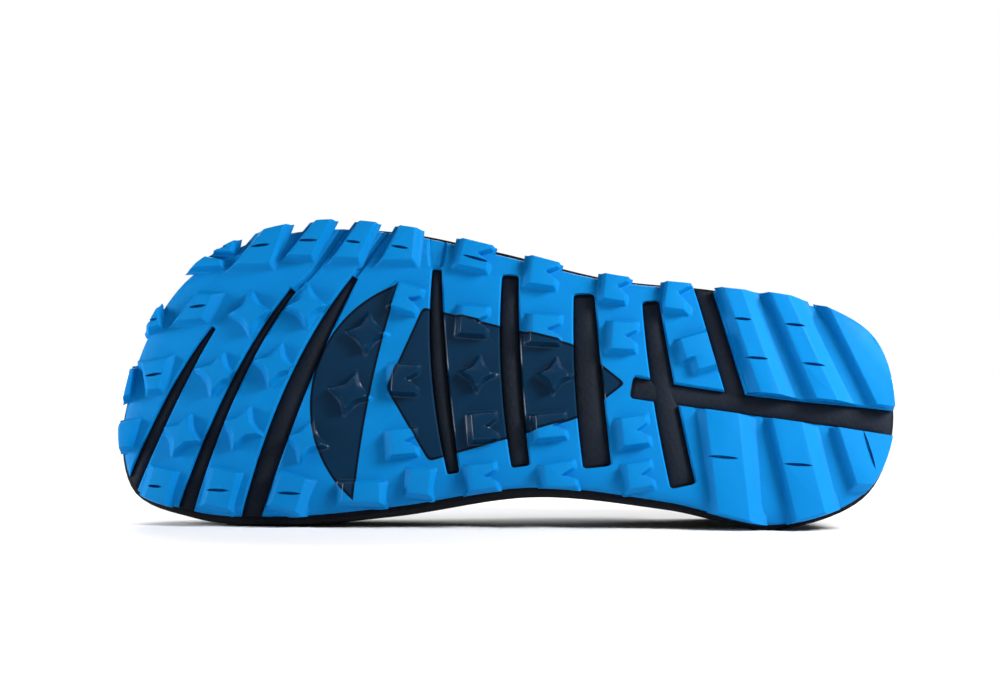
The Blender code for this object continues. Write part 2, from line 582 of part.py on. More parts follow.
def build_sole(parts, cutters):
    plate = dish(
        [
            ring(-RUBBER * 0.45, rubber_under),
            ring(0, lambda p: rubber_under(p) + RUBBER * 0.35),
            ring(0, lambda p: rubber_under(p) + RUBBER),
        ],
        rubber_under,
        lambda p: rubber_under(p) + RUBBER,
    )
    outsole = mesh_object("outsole", plate, parts, "outsole", 0.55)
    pad_mesh = outsole.data.copy()
    pad = bpy.data.objects.new("outsole_heel_pad", pad_mesh)
    parts.objects.link(pad)
    paint(pad, "outsole", 0.55)

    below, above = -LAST_HEIGHT, TOE_SPRING + LAST_HEIGHT * 2
    border = mesh_object("pad_border", prism([plan(p) for p in PAD_BORDER], below, above), cutters)
    pad_lugs, main_lugs = bmesh.new(), bmesh.new()
    for ridge in RIDGES:
        lug_solid(pad_lugs if ridge.name.startswith("pad") else main_lugs, ridge_outline(ridge))
    for lug in LUGS:
        lug_solid(main_lugs, lug_outline(lug))
    boolean(pad, mesh_object("pad_lugs", pad_lugs, cutters), "UNION")
    boolean(outsole, mesh_object("main_lugs", main_lugs, cutters), "UNION")
    boolean(pad, border, "INTERSECT")
    boolean(outsole, border, "DIFFERENCE")
    proud = ring(across(column(SOLE_RIBS, "proud", STATIONS)), 0 * STATIONS)
    skirt = mesh_object("skirt", prism([tuple(p[:2]) for p in proud], below * 1.1, above * 1.1), cutters)
    for made in (outsole, pad):
        boolean(made, skirt, "INTERSECT")
    for slot in SLOTS:
        cutter = mesh_object(slot.name.replace(" ", "_"), prism(slot_outline(slot), below, above), cutters)
        if slot.name.startswith("heel"):
            boolean(pad, cutter, "DIFFERENCE")
        boolean(outsole, cutter, "DIFFERENCE")

    floor = RUBBER + GAP
    foam = across(column(SOLE_RIBS, "foam", STATIONS))
    seat = [SHEET[:, row] + NORMALS[:, row] * GAP for row in (0, 1, 2)]
    seat[0][:, 2] -= GAP
    rim_out = seat[2].copy()
    rim_out[:, :2] += unit(NORMALS[:, 2, :2]) * RIM_WALL
    base = ring(foam, lambda p: rubber_under(p) + floor)
    wide = ring(foam + SIDE_BULGE, lambda p: rubber_under(p) + floor + SIDE_BULGE * 1.8)
    rows = [ring(np.minimum(foam - RUBBER * 0.45, 0), lambda p: rubber_under(p) + floor), base, wide]
    for share, step in ((0.42, 0), (0.50, 1), (0.72, 1), (0.78, 0.4)):
        row = wide * (1 - share) + rim_out * share
        away = edge(STATIONS)[1]
        row[:, :2] += away * (SIDE_BULGE * math.sin(math.pi * share) - step * SIDE_STEP)
        rows.append(row)
    rows += [rim_out, seat[2], seat[1], seat[0]]
    midsole = dish(rows, lambda p: rubber_under(p) + floor, lambda p: last_floor(p[..., 0]))
    mesh_object("midsole", midsole, parts, "foam", 0.85)

    inset = INSIDE[:, 0].copy()
    away = edge(STATIONS)[1]
    inset[:, :2] -= away * (GAP + LOOSE / 2)
    low, high = inset.copy(), inset.copy()
    low[:, 2] = last_floor(inset[:, 0]) + GAP
    high[:, 2] = low[:, 2] + INSOLE
    waist = (low + high) / 2
    waist[:, :2] += away * INSOLE * 0.09
    high[:, :2] -= away * INSOLE * 0.18
    insole = dish(
        [low, waist, high],
        lambda p: last_floor(p[..., 0]) + GAP,
        lambda p: last_floor(p[..., 0]) + GAP + INSOLE,
    )
    mesh_object("insole", insole, parts, "lining", 0.9)


def build_upper(parts):
    outside = np.concatenate([SHEET, TOP_LINE[:, None]], axis=1)
    mesh_object("upper", sheet_solid(outside, INSIDE, True), parts, "mesh", 0.9, 60)


def between(grid, where):
    """A grid's columns at a station number that may fall between two."""
    i = int(math.floor(where))
    s = where - i
    return grid[i % COUNT] * (1 - s) + grid[(i + 1) % COUNT] * s


def station_of(where):
    """The station number of a distance round the edge."""
    where = where % ROUND
    if where <= TOE:
        return where / TOE * HALF_RIBS
    return HALF_RIBS + (where - TOE) / (ROUND - TOE) * HALF_RIBS


def build_panels(parts):
    for panel in PANELS:
        first, last = station_of(PLACE[panel.first]) + PANEL_SEAM, station_of(PLACE[panel.last]) - PANEL_SEAM
        if last < first:
            last += COUNT
        stops = [first, *range(int(first) + 1, int(math.ceil(last))), last]
        stops = [s for k, s in enumerate(stops) if k == 0 or s - stops[k - 1] > 0.15]
        low, high = [], []
        for stop in stops:
            points, normals = between(SHEET, stop), unit(between(NORMALS, stop))
            rows = list(range(panel.low, panel.high + 1))
            face, away = points[rows].copy(), normals[rows]
            if panel.low == 2:
                face[0] = face[0] + (face[1] - face[0]) * PANEL_EDGE
            low.append(face + away * GAP)
            thick = np.full((len(rows), 1), OVERLAY)
            high.append(face + away * (GAP + thick))
        mesh_object(panel.name, sheet_solid(low, high, False), parts, "film", 0.5, 50)


def throat_place(x, lateral):
    """The distance round the edge whose top line stands at x on one side of the throat."""
    if lateral:
        where = np.linspace(PLACE["heel front lateral"], PLACE["second toe"], 200)
    else:
        where = np.linspace(PLACE["heel front medial"], PLACE["toe tip"], 200)
    tops = along(column(UPPER_RIBS, "top_along", where))
    return float(np.interp(x, tops, where))


def inner_point(where, depth):
    """A point of the upper's inside, this far down its rib from the top line, and the way out of it."""
    place = np.array([where])
    length = upper_path(place, np.array([1.0]))[1]
    share = np.array([1 - depth / length[0]])
    point, normal, _ = upper_sheet(place, share)
    return (point - normal * wall_of(place, share)[..., None])[0, 0], normal[0, 0]


def build_tongue(parts):
    clear = GAP + LOOSE
    front = [inner_point(PLACE[name], up(depth)) for name, depth in TONGUE_FRONT]
    rows = [[(point - normal * clear, normal) for point, normal in front]]
    brim = TOP_LIP * 0.9
    for place in TONGUE_WINGS:
        lateral, medial = throat_place(along(place.along), True), throat_place(along(place.along), False)
        wing = up(place.wing)
        row = []
        down = (wing, (wing + brim) / 2, brim)
        for where, depths in ((lateral, down), (medial, down[::-1])):
            for depth in depths:
                point, normal = inner_point(where, depth)
                row.append((point - normal * clear, normal))
        middle = (row[2][0] + row[3][0]) / 2 + np.array([0, 0, LOOSE * 0.8])
        row.insert(3, (middle, unit(row[2][1] + row[3][1])))
        rows.append(row)
    outer = [np.array([p for p, _ in row]) for row in rows]
    inner = []
    for points, row in zip(outer, rows):
        thick = np.array([0.3, 0.8, 1, 1, 1, 0.8, 0.3])[:, None] * TONGUE
        inner.append(points - np.array([n for _, n in row]) * thick)
    climb = unit((outer[-1][3] - outer[-2][3])[None])[0]
    for end in TONGUE_TOP:
        shift = climb * along(end.on) + np.array([0, 0, up(end.up)])
        for grid in (outer, inner):
            base = grid[len(TONGUE_WINGS)]
            grid.append((base - base[3]) * np.array([1, end.width, 1]) + base[3] + shift)
    mesh_object("tongue", sheet_solid(outer, inner, False), parts, "mesh", 0.9, 70)


def tube(name, runs, radius, cyclic=False):
    curve = bpy.data.curves.new(name, "CURVE")
    curve.dimensions = "3D"
    curve.bevel_depth = radius
    curve.bevel_resolution = 2
    curve.use_fill_caps = True
    spline = curve.splines.new("POLY")
    spline.points.add(len(runs) - 1)
    for point, place in zip(spline.points, runs):
        point.co = (*place, 1)
    spline.use_cyclic_u = cyclic
    return bpy.data.objects.new(name, curve)


def solid_of(curve_object, collection, colour=None):
    bpy.context.scene.collection.objects.link(curve_object)
    bpy.context.view_layer.update()
    graph = bpy.context.evaluated_depsgraph_get()
    mesh = bpy.data.meshes.new_from_object(curve_object.evaluated_get(graph))
    bm = bmesh.new()
    bm.from_mesh(mesh)
    bmesh.ops.remove_doubles(bm, verts=bm.verts, dist=0.00001)
    name = curve_object.name
    bpy.data.objects.remove(curve_object)
    bpy.data.meshes.remove(mesh)
    made = mesh_object(name + "_solid", bm, collection, colour, 0.7)
    made.name = name
    return made


def eyelet_rows():
    """For each eyelet, lateral and medial, toe to top, the lace's turn round it: in over the throat's edge,
    down to the eyelet, along it and out again."""
    lift = GAP + OVERLAY + GAP + LACE / 2 + LOOSE * 0.6
    half = LACE / 2 + GAP
    rows = {}
    for lateral in (True, False):
        rows[lateral] = []
        for x in EYELET_ALONG[::-1]:
            turn = []
            brim, deep = TOP_LIP / 3, EYESTAY / 2
            for shift, depth in ((1.3, brim), (1, deep), (-1, deep), (-1.3, brim)):
                where = np.array([throat_place(along(x) + half * shift, lateral)])
                length = upper_path(where, np.array([1.0]))[1]
                points, normals, _ = upper_sheet(where, 1 - np.array([depth]) / length[0])
                turn.append(points[0, 0] + normals[0, 0] * lift)
            rows[lateral].append(turn)
    return rows


def build_laces(parts, cutters):
    """Two strands that cross from row to row, one of them with the bar over the lowest eyelets."""
    rows = eyelet_rows()
    last = len(EYELET_ALONG) - 1
    runs = []
    for start, lift in ((True, LACE * 0.26), (False, LACE * 0.41)):
        bar = rows[not start][0]
        points = [bar[1], bar[0]] if start else []
        for row in range(last + 1):
            turn = rows[start ^ (row % 2 == 1)][row]
            if points:
                points.append((points[-1] + turn[0]) / 2 + np.array([0, 0, lift]))
            points += turn[0 if points else 2:3 if row == last else 4]
        runs.append(points)
    laces = solid_of(tube("laces", runs[0], LACE / 2), parts, "tape")
    boolean(laces, solid_of(tube("lace_crossing", runs[1], LACE / 2), cutters), "UNION")


def build_pull_loop(parts):
    """A tape arch over the collar at the heel: up the outside, over the top and down into the shoe."""
    place = np.array([0.0])
    shares = np.array([0.80, 0.90, 1.0])
    points, normals, _ = upper_sheet(place, shares)
    points, normals = points[0], normals[0]
    out = OVERLAY + GAP * 2 + TAPE / 2 + LOOSE * 0.4
    more = (0, 0, LOOSE * 1.4)
    line = [point + normal * (out + extra) for point, normal, extra in zip(points, normals, more)]
    inside, inward = inner_point(0.0, COLLAR_PAD)
    back = inside - inward * (GAP + LOOSE * 1.8 + TAPE / 2)
    middle, half_span = (line[2] + back) / 2, (back - line[2]) / 2
    for angle in (10, 32, 60, 90, 120, 148, 170):
        turn = math.radians(angle)
        climb = np.array([0, 0, LOOP_HEIGHT * math.sin(turn) ** 0.5])
        line.append(middle - half_span * math.cos(turn) + climb)
    line.append(back)
    line = np.array(line)
    ahead = unit(np.gradient(line, axis=0))
    side = np.array([0, 1.0, 0])
    away = unit(np.cross(side, ahead))
    half = LOOP_WIDTH / 2
    low = [np.array([p - side * half, p + side * half]) - a * TAPE / 2 for p, a in zip(line, away)]
    high = [np.array([p - side * half, p + side * half]) + a * TAPE / 2 for p, a in zip(line, away)]
    mesh_object("pull_loop", sheet_solid(low, high, False), parts, "tape", 0.7, 50)


def lay_on_side(parts, holder):
    """Turn the shoe onto its medial side, on the face of its hull that lies under its centre of mass."""
    bpy.context.view_layer.update()
    graph = bpy.context.evaluated_depsgraph_get()
    bm = bmesh.new()
    weight, moment = 0.0, Vector()
    for made in parts.objects:
        if made.type != "MESH":
            continue
        mesh = made.evaluated_get(graph).to_mesh()
        for triangle in mesh.loop_triangles:
            a, b, c = (mesh.vertices[i].co for i in triangle.vertices)
            volume = a.dot(b.cross(c)) / 6
            weight += volume
            moment += volume * (a + b + c) / 4
        bm.from_mesh(mesh)
    centre = moment / weight
    hull = bmesh.ops.convex_hull(bm, input=bm.verts)
    faces = [g for g in hull["geom"] if isinstance(g, bmesh.types.BMFace)]
    best, normal = -2.0, None
    for face in faces:
        away = face.normal
        if away.dot(face.verts[0].co - centre) < 0:
            away = -away
        foot = centre + away * away.dot(face.verts[0].co - centre)
        corners = [v.co for v in face.verts]
        crossings = [(b - a).cross(foot - a).dot(away) for a, b in zip(corners, corners[1:] + corners[:1])]
        inside = min(crossings) >= -1e-12 or max(crossings) <= 1e-12
        if inside and -away.y > best:
            best, normal = -away.y, away.copy()
    side_up = Matrix(((-1, 0, 0, 0), (0, 0, 1, 0), (0, 1, 0, 0), (0, 0, 0, 1)))
    turned = side_up.to_3x3() @ normal
    roll = turned.rotation_difference(Vector((0, 0, -1))).to_matrix().to_4x4()
    turn = roll @ side_up
    points = [turn @ v.co for v in bm.verts]
    low = [min(p[i] for p in points) for i in range(3)]
    high = [max(p[i] for p in points) for i in range(3)]
    shift = Matrix.Translation((-(low[0] + high[0]) / 2, -(low[1] + high[1]) / 2, -low[2]))
    holder.matrix_world = shift @ turn
    bm.free()


def collection_named(name):
    made = bpy.data.collections.new(name)
    bpy.context.scene.collection.children.link(made)
    return made


def main():
    for old in list(bpy.data.objects):
        bpy.data.objects.remove(old)
    parts, cutters = collection_named("trail_running_shoe"), collection_named("cutters")
    holder = bpy.data.objects.new("shoe", None)
    parts.objects.link(holder)
    build_sole(parts, cutters)
    build_upper(parts)
    build_panels(parts)
    build_tongue(parts)
    build_laces(parts, cutters)
    build_pull_loop(parts)
    for made in [*parts.objects, *cutters.objects]:
        if made is not holder:
            made.parent = holder
    lay_on_side(parts, holder)


main()
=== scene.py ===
"""A left trail running shoe lying on its medial side, its blue lugged sole to the camera.

The forms are worked out in millimetres in the shoe's own axes, standing up: X from the heel's back to the
toe, Y towards the lateral side, Z up from the ground under the lugs. LAID turns them into the row's frame,
where the shoe lies on its side.
"""

import math
from collections import namedtuple

import bmesh
import bpy
import numpy as np
from mathutils import Matrix, Vector


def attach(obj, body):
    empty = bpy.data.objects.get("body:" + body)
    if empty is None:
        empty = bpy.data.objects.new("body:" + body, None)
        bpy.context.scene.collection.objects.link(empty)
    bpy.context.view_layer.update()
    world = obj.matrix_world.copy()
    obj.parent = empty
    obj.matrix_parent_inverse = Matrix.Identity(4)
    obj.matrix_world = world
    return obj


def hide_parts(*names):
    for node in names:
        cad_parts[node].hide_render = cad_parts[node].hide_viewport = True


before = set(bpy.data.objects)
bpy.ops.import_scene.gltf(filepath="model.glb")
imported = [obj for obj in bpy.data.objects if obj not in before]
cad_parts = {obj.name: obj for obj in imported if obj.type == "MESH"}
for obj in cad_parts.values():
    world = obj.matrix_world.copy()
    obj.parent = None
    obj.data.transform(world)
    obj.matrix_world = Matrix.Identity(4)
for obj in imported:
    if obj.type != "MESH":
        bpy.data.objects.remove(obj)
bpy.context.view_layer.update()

# How the standing shoe's axes lie in the row's frame, and where its origin is, in metres
LAID = Matrix((
    (-0.999887, -0.014993, 0.001433, 0.145471),
    (-0.001433, 0.189444, 0.98189, -0.046937),
    (-0.014993, 0.981777, -0.189444, 0.062678),
    (0, 0, 0, 1),
)) @ Matrix.Scale(0.001, 4)

# Sizes in millimetres
LENGTH, LUG_HEIGHT, RUBBER, LAST_HEIGHT = 292, 4.2, 2.6, 22
TOE_SPRING, HEEL_BEVEL, EDGE_LIFT, EDGE_ROUND = 12, 2.5, 1.5, 7
UPPER_WALL, COLLAR_PAD, TOP_LIP, RIM_WALL = 2.2, 5, 1.6, 3.0
SIDE_BULGE, SIDE_STEP, OVERLAY, EYESTAY, GAP = 0.9, 1.2, 1.2, 17, 0.3
LACE_WIDE, LACE_THICK, TAPE, LOOP_WIDTH, LOOP_HEIGHT = 4.0, 1.7, 1.6, 10, 17
INSOLE, TONGUE, GROOVE_DEPTH, SIPE_DEPTH, SIPE_HALF_WIDE = 4.5, 5, 1.3, 2.4, 0.58
STITCH_PITCH, STITCH_HALF_LONG, STITCH_RADIUS = 3.4, 1.15, 0.34
EYELET_OUTER, EYELET_INNER, EYELET_HOLE = 2.7, 2.3, 1.5

SoleRib = namedtuple("SoleRib", "name along across foam inset rim proud")
SOLE_RIBS = [SoleRib(*row) for row in (
    ("heel back", 0.5, -15, 0.4, 6.5, 9, 0.4),
    ("heel corner lateral", 7.8, 10.5, 0.2, 7.0, 9, 0.4),
    ("heel lateral", 26, 22.0, 0.3, 7.2, 9, 0.6),
    ("heel front lateral", 66, 29.3, 0.9, 5.5, 8, 1.0),
    ("waist lateral", 105, 33.6, 1.1, 3.6, 7, 1.6),
    ("midfoot lateral", 150, 44.8, 1.4, 3.4, 6, 2.0),
    ("ball rear lateral", 185, 52.8, 1.0, 3.8, 5, 2.2),
    ("ball lateral", 218, 54.8, 0.2, 4.2, 5, 2.6),
    ("little toe", 245, 49.6, 0.2, 4.6, 4, 2.2),
    ("fourth toe", 267, 37, 0.2, 5.0, 4, 1.8),
    ("third toe", 281, 17.5, 0.3, 5.2, 4, 1.6),
    ("second toe", 288.5, -5, 0.4, 5.4, 4, 1.6),
    ("toe tip", 291, -24, 0.5, 5.4, 4, 1.4),
    ("big toe corner", 286, -42, 0.6, 5.0, 4, 1.0),
    ("big toe medial", 264, -51.5, 1.2, 4.4, 4, 0.8),
    ("ball medial", 228, -54.5, 1.8, 3.6, 5, 0.8),
    ("ball rear medial", 190, -51.6, 1.8, 3.2, 6, 0.8),
    ("arch medial", 134, -44.6, 1.4, 2.8, 8, 0.8),
    ("heel front medial", 86, -50.6, 1.6, 5.4, 9, 0.8),
    ("heel medial", 42, -59.2, 0.6, 8.0, 9, 0.6),
    ("heel corner medial", 11, -46.5, 0.4, 7.5, 9, 0.4),
)]
UpperRib = namedtuple("UpperRib", "name top_along top_across top_up rise bulge run drop pad guard")
UPPER_RIBS = [UpperRib(*row) for row in (
    ("heel back", 11.0, -16.5, 72, 0.42, 2.6, 0.10, 0.36, 0.9, 0.60),
    ("heel corner lateral", 17.0, 2.0, 70, 0.42, 2.4, 0.10, 0.36, 1.0, 0.58),
    ("heel lateral", 36.0, 11.5, 61, 0.42, 1.8, 0.12, 0.38, 1.0, 0.54),
    ("heel front lateral", 67.0, 15.5, 53, 0.44, 1.4, 0.16, 0.40, 1.0, 0.40),
    ("waist lateral", 97.0, 13.5, 60, 0.46, 1.4, 0.28, 0.36, 0.7, 0.24),
    ("midfoot lateral", 127.0, 11.5, 72, 0.50, 1.4, 0.45, 0.26, 0.1, 0.19),
    ("ball rear lateral", 158.0, 12.5, 62, 0.60, 1.6, 0.56, 0.16, 0.0, 0.19),
    ("ball lateral", 186.0, 11.0, 50, 0.74, 1.6, 0.58, 0.10, 0.0, 0.20),
    ("little toe", 199.0, 9.0, 45.5, 0.84, 1.4, 0.58, 0.08, 0.0, 0.22),
    ("fourth toe", 205.0, 6.0, 43.6, 0.92, 1.2, 0.58, 0.08, 0.0, 0.26),
    ("third toe", 207.6, 2.8, 42.8, 0.95, 1.2, 0.57, 0.08, 0.0, 0.31),
    ("second toe", 208.6, -0.2, 42.6, 0.97, 1.2, 0.56, 0.08, 0.0, 0.34),
    ("toe tip", 208.4, -3.2, 42.6, 0.97, 1.2, 0.56, 0.08, 0.0, 0.34),
    ("big toe corner", 206.6, -6.2, 42.8, 0.95, 1.2, 0.57, 0.08, 0.0, 0.31),
    ("big toe medial", 201.5, -9.4, 44.5, 0.92, 1.4, 0.58, 0.08, 0.0, 0.24),
    ("ball medial", 188.0, -12.0, 49.5, 0.82, 1.6, 0.58, 0.08, 0.0, 0.20),
    ("ball rear medial", 162.0, -15.0, 60, 0.68, 1.6, 0.56, 0.12, 0.0, 0.19),
    ("arch medial", 125.0, -20.5, 73, 0.50, 0.8, 0.42, 0.26, 0.1, 0.19),
    ("heel front medial", 86.0, -38.5, 58, 0.44, 1.0, 0.16, 0.38, 0.8, 0.34),
    ("heel medial", 46.0, -47.5, 59, 0.42, 1.8, 0.12, 0.38, 1.0, 0.54),
    ("heel corner medial", 18.0, -34.5, 69, 0.42, 2.4, 0.10, 0.36, 1.0, 0.58),
)]
Slot = namedtuple("Slot", "name along0 across0 along1 across1 along2 across2 wide0 wide1 wide2")
SLOTS = [Slot(*row) for row in (
    ("toe slot one", 256.4, 17.5, 272.0, -8.5, 289.5, -47, 1.8, 4.6, 5.0),
    ("toe slot two", 226.3, 31.0, 249.2, -7.0, 269.0, -60, 2.6, 4.2, 6.6),
    ("toe slot three", 202.8, 35.5, 225.0, -7.0, 243.4, -62, 2.6, 8.2, 7.0),
    ("waist slot one", 171.6, 38.0, 171.0, 1.0, 166.0, -38.5, 3.6, 6.0, 4.6),
    ("waist slot two", 143.8, 35.0, 144.0, 0.0, 140.8, -36.0, 6.4, 7.6, 7.0),
    ("waist slot three", 116.0, 27.5, 114.8, -5.0, 112.2, -36.5, 8.0, 10.4, 10.6),
    ("waist slot four", 90.8, 24.5, 86.6, -9.0, 80.4, -44.0, 6.6, 8.8, 9.6),
    ("heel channel", 97.5, -7.5, 50.0, -15.2, -8.0, -22.4, 8.6, 7.8, 10.4),
    ("heel cross slot", 74.5, 44.0, 67.8, 19.0, 59.6, -11.0, 6.8, 6.8, 7.2),
)]
# Shallow grooves in the rubber, as slots that don't go through it
GROOVES = [Slot(*row) for row in (
    ("toe groove two", 227.0, 30.0, 216.8, 40.0, 206.5, 56.0, 1.8, 2.0, 2.2),
    ("toe groove three", 203.5, 35.0, 197.4, 43.5, 189.6, 55.0, 1.8, 2.0, 2.2),
    ("waist groove", 171.8, 40.5, 171.4, 46.5, 171.0, 54.0, 5.0, 6.4, 6.6),
)]
PAD_BORDER = (
    (-12, -22.9), (10, -20.6), (50, -15.2), (60.5, -12.6), (67.8, 19.0), (74.5, 44), (70, 60), (-12, 60),
)
Ridge = namedtuple(
    "Ridge", "name toe_medial toe_lateral heel_lateral heel_medial toe_run side_run heel_run",
)
RIDGES = [Ridge(*row) for row in (
    ("pad ridge front", (50.3, -12.5), (64.0, 31.5), (57.5, 31.5), (42.5, -13.0), 3.2, 0.9, 5.0),
    ("pad ridge middle", (29.3, -14.5), (46.2, 28.5), (40.0, 28.5), (21.0, -15.5), 3.0, 0.9, 5.4),
    ("pad ridge back", (6.2, -17.5), (25.3, 24.0), (8.0, 30.0), (-8.0, -16.0), 3.0, 0.9, 1.0),
    ("heel ridge front", (67.8, -56.0), (71.8, -16.5), (59.0, -18.0), (56.0, -60.0), 2.6, 0.9, 6.0),
    ("heel ridge middle", (38.3, -61.0), (47.2, -18.5), (36.0, -19.0), (27.0, -60.0), 2.4, 0.9, 5.4),
    ("heel ridge back", (16.0, -45.5), (22.8, -22.0), (-6.0, -20.0), (0.0, -45.5), 2.6, 2.2, 1.0),
    ("outer one", (264.5, 40.6), (260.5, 44.8), (253.8, 43.2), (253.5, 40.6), 1.4, 0.9, 1.4),
    ("outer two", (256.6, 46.8), (252.0, 51.5), (248.8, 51.5), (249.8, 46.0), 0.9, 0.4, 2.0),
    ("outer three", (248.2, 41.0), (234.0, 57.5), (228.5, 57.5), (234.7, 41.0), 1.6, 2.4, 2.0),
    ("outer four", (228.0, 44.2), (216.0, 58.5), (211.0, 58.5), (218.8, 43.4), 1.2, 1.6, 1.4),
    ("outer five", (210.6, 42.8), (200.0, 57.5), (194.5, 57.5), (201.0, 42.4), 1.2, 2.4, 1.4),
    ("outer six", (192.4, 41.6), (184.5, 56.0), (179.4, 55.5), (180.6, 41.6), 1.4, 2.4, 2.4),
    ("toe one", (270.6, 20.4), (262.2, 30.2), (256.2, 29.6), (260.8, 20.6), 1.2, 1.8, 3.0),
    ("toe two", (281.4, 17.6), (283.6, 23.6), (278.2, 25.4), (277.2, 19.2), 1.2, 1.6, 1.4),
    ("toe three", (281.4, -6.0), (283.6, 4.6), (273.6, 6.0), (276.6, -5.6), 1.2, 1.6, 1.8),
    ("toe four", (293.0, -9.0), (291.2, 2.2), (287.0, 2.6), (288.8, -7.4), 0.8, 1.0, 1.2),
    ("toe five", (294.0, -27.5), (292.0, -18.2), (286.0, -17.0), (288.8, -27.0), 0.8, 1.0, 1.6),
)]
Lug = namedtuple("Lug", "kind along across travel wide turn toe_run heel_run cut")
LUGS = [Lug(*row) for row in (
    ("notched", 131.2, 36.8, 10.0, 11.0, 10, 2.2, 1.0, 0.46),
    ("notched", 131.0, 14.5, 10.5, 10.5, 4, 2.4, 1.0, 0.46),
    ("notched", 129.4, -22.4, 10.5, 9.0, -4, 2.2, 1.0, 0.46),
    ("notched", 126.2, -41.2, 11.0, 9.5, -8, 2.2, 1.0, 0.46),
    ("notched", 104.2, 30.8, 8.4, 11.0, 10, 2.0, 1.0, 0.46),
    ("notched", 101.6, 11.6, 9.0, 10.5, 4, 2.2, 1.0, 0.46),
    ("notched", 98.0, -24.6, 9.5, 10.5, -6, 2.2, 1.0, 0.46),
    ("notched", 96.6, -41.4, 9.0, 9.5, -8, 2.0, 1.0, 0.46),
    ("notched", 156.8, 44.2, 11.0, 12.0, 14, 2.2, 1.0, 0.46),
    ("notched", 157.8, 18.0, 9.5, 10.5, 5, 2.2, 1.0, 0.46),
    ("notched", 154.4, -22.4, 8.5, 10.0, -4, 2.2, 1.0, 0.46),
    ("notched", 155.0, -41.4, 9.5, 9.5, -6, 2.2, 1.0, 0.46),
    ("notched", 81.2, 28.0, 8.0, 13.0, 10, 1.6, 2.4, 0.46),
    ("stepped", 73.6, 5.2, 10.5, 13.0, -16, 1.8, 1.8, 0.32),
    ("star", 242.0, 22.4, 10.5, 10.5, 45, 1.0, 1.0, 0.18),
    ("star", 254.6, -0.4, 10.5, 10.5, 60, 1.0, 1.0, 0.18),
    ("star", 268.0, -23.2, 10.5, 10.5, 68, 1.0, 1.0, 0.18),
    ("star", 220.6, 24.4, 10.0, 10.0, 45, 1.0, 1.0, 0.18),
    ("star", 232.6, 2.0, 10.5, 10.5, 60, 1.0, 1.0, 0.18),
    ("star", 245.2, -21.4, 10.5, 10.5, 66, 1.0, 1.0, 0.18),
    ("star", 220.8, -27.0, 10.0, 10.0, 60, 1.0, 1.0, 0.18),
    ("block", 276.2, -42.6, 8.3, 13.0, 16, 2.0, 1.6, 0.0),
    ("block", 252.6, -44.4, 9.4, 14.0, 14, 2.2, 1.8, 0.0),
    ("block", 227.2, -46.4, 10.0, 13.0, 18, 2.4, 3.4, 0.0),
    ("block", 200.0, -46.8, 14.0, 7.6, 2, 2.4, 2.4, 0.0),
    ("block", 178.2, -43.0, 7.5, 9.6, 6, 2.0, 1.6, 0.0),
    ("star", 198.0, 14.0, 9.5, 9.5, 50, 1.0, 1.0, 0.18),
    ("star", 156.4, -2.0, 8.5, 8.5, 50, 0.8, 0.8, 0.18),
    ("star", 127.6, -3.0, 8.5, 8.5, 50, 0.8, 0.8, 0.18),
    ("star", 204.4, -9.0, 10.0, 10.0, 60, 1.0, 1.0, 0.18),
    ("notched", 183.0, 27.0, 9.0, 9.5, 20, 2.0, 1.0, 0.46),
    ("notched", 184.0, -4.0, 9.0, 10.5, 4, 2.0, 1.0, 0.46),
    ("notched", 184.5, -28.0, 9.0, 9.5, -4, 2.0, 1.0, 0.46),
)]
LUG_OUTLINES = {
    "block": lambda cut: ((0.5, -0.5), (0.5, 0.5), (-0.5, 0.5), (-0.5, -0.5)),
    "notched": lambda cut: (
        (0.5, -0.5), (0.5, 0.5), (-0.5, 0.5), (-0.5, 0.22), (-0.5 + cut, 0), (-0.5, -0.22), (-0.5, -0.5),
    ),
    "stepped": lambda cut: (
        (0.5 - cut, -0.5), (0.5 - cut, -0.1), (0.5, -0.1), (0.5, 0.5), (-0.5, 0.5), (-0.5, -0.5),
    ),
    "star": lambda cut: (
        (0.5, -0.5), (0.5 - cut, 0), (0.5, 0.5), (0, 0.5 - cut),
        (-0.5, 0.5), (-0.5 + cut, 0), (-0.5, -0.5), (0, -0.5 + cut),
    ),
}
SIDE_RUN, NOTCH_RUN = 0.9, 0.3
# Sipes, the thin cuts in the lugs' tops: their two ends
SIPES = (
    ((60.0, 17.8), (53.4, 17.2)), ((56.0, 2.9), (47.4, 2.1)), ((41.0, 15.5), (33.0, 14.6)),
    ((35.0, 0.5), (26.0, -0.6)), ((71.0, -34.4), (59.5, -35.5)), ((43.0, -37.6), (32.0, -38.4)),
    ((12.8, -25.0), (8.6, -40.0)), ((242.2, 47.6), (234.4, 48.3)), ((224.2, 49.5), (216.4, 49.4)),
    ((206.0, 49.0), (200.2, 48.2)), ((189.0, 47.0), (182.0, 45.8)), ((256.0, 47.6), (251.4, 48.2)),
    ((265.6, 25.0), (258.6, 25.6)), ((282.0, 20.5), (277.6, 21.3)), ((282.2, -0.6), (275.4, 0.2)),
    ((280.4, -42.4), (275.0, -43.1)), ((258.0, -44.8), (249.2, -45.4)), ((231.4, -46.6), (222.4, -47.2)),
    ((162.0, 43.2), (151.4, 40.2)),
)
Panel = namedtuple("Panel", "name first last low high")
PANELS = [Panel(*row) for row in (
    ("toe_cap", "little toe", "big toe medial", 2, 4),
    ("lateral_guard", "heel front lateral", "little toe", 2, 4),
    ("medial_guard", "big toe medial", "heel front medial", 2, 4),
    ("heel_counter", "heel front medial", "heel front lateral", 2, 4),
    ("eyestay", "waist lateral", "heel front medial", 7, 9),
)]
EYELET_ALONG = (134, 147, 160, 173, 186)

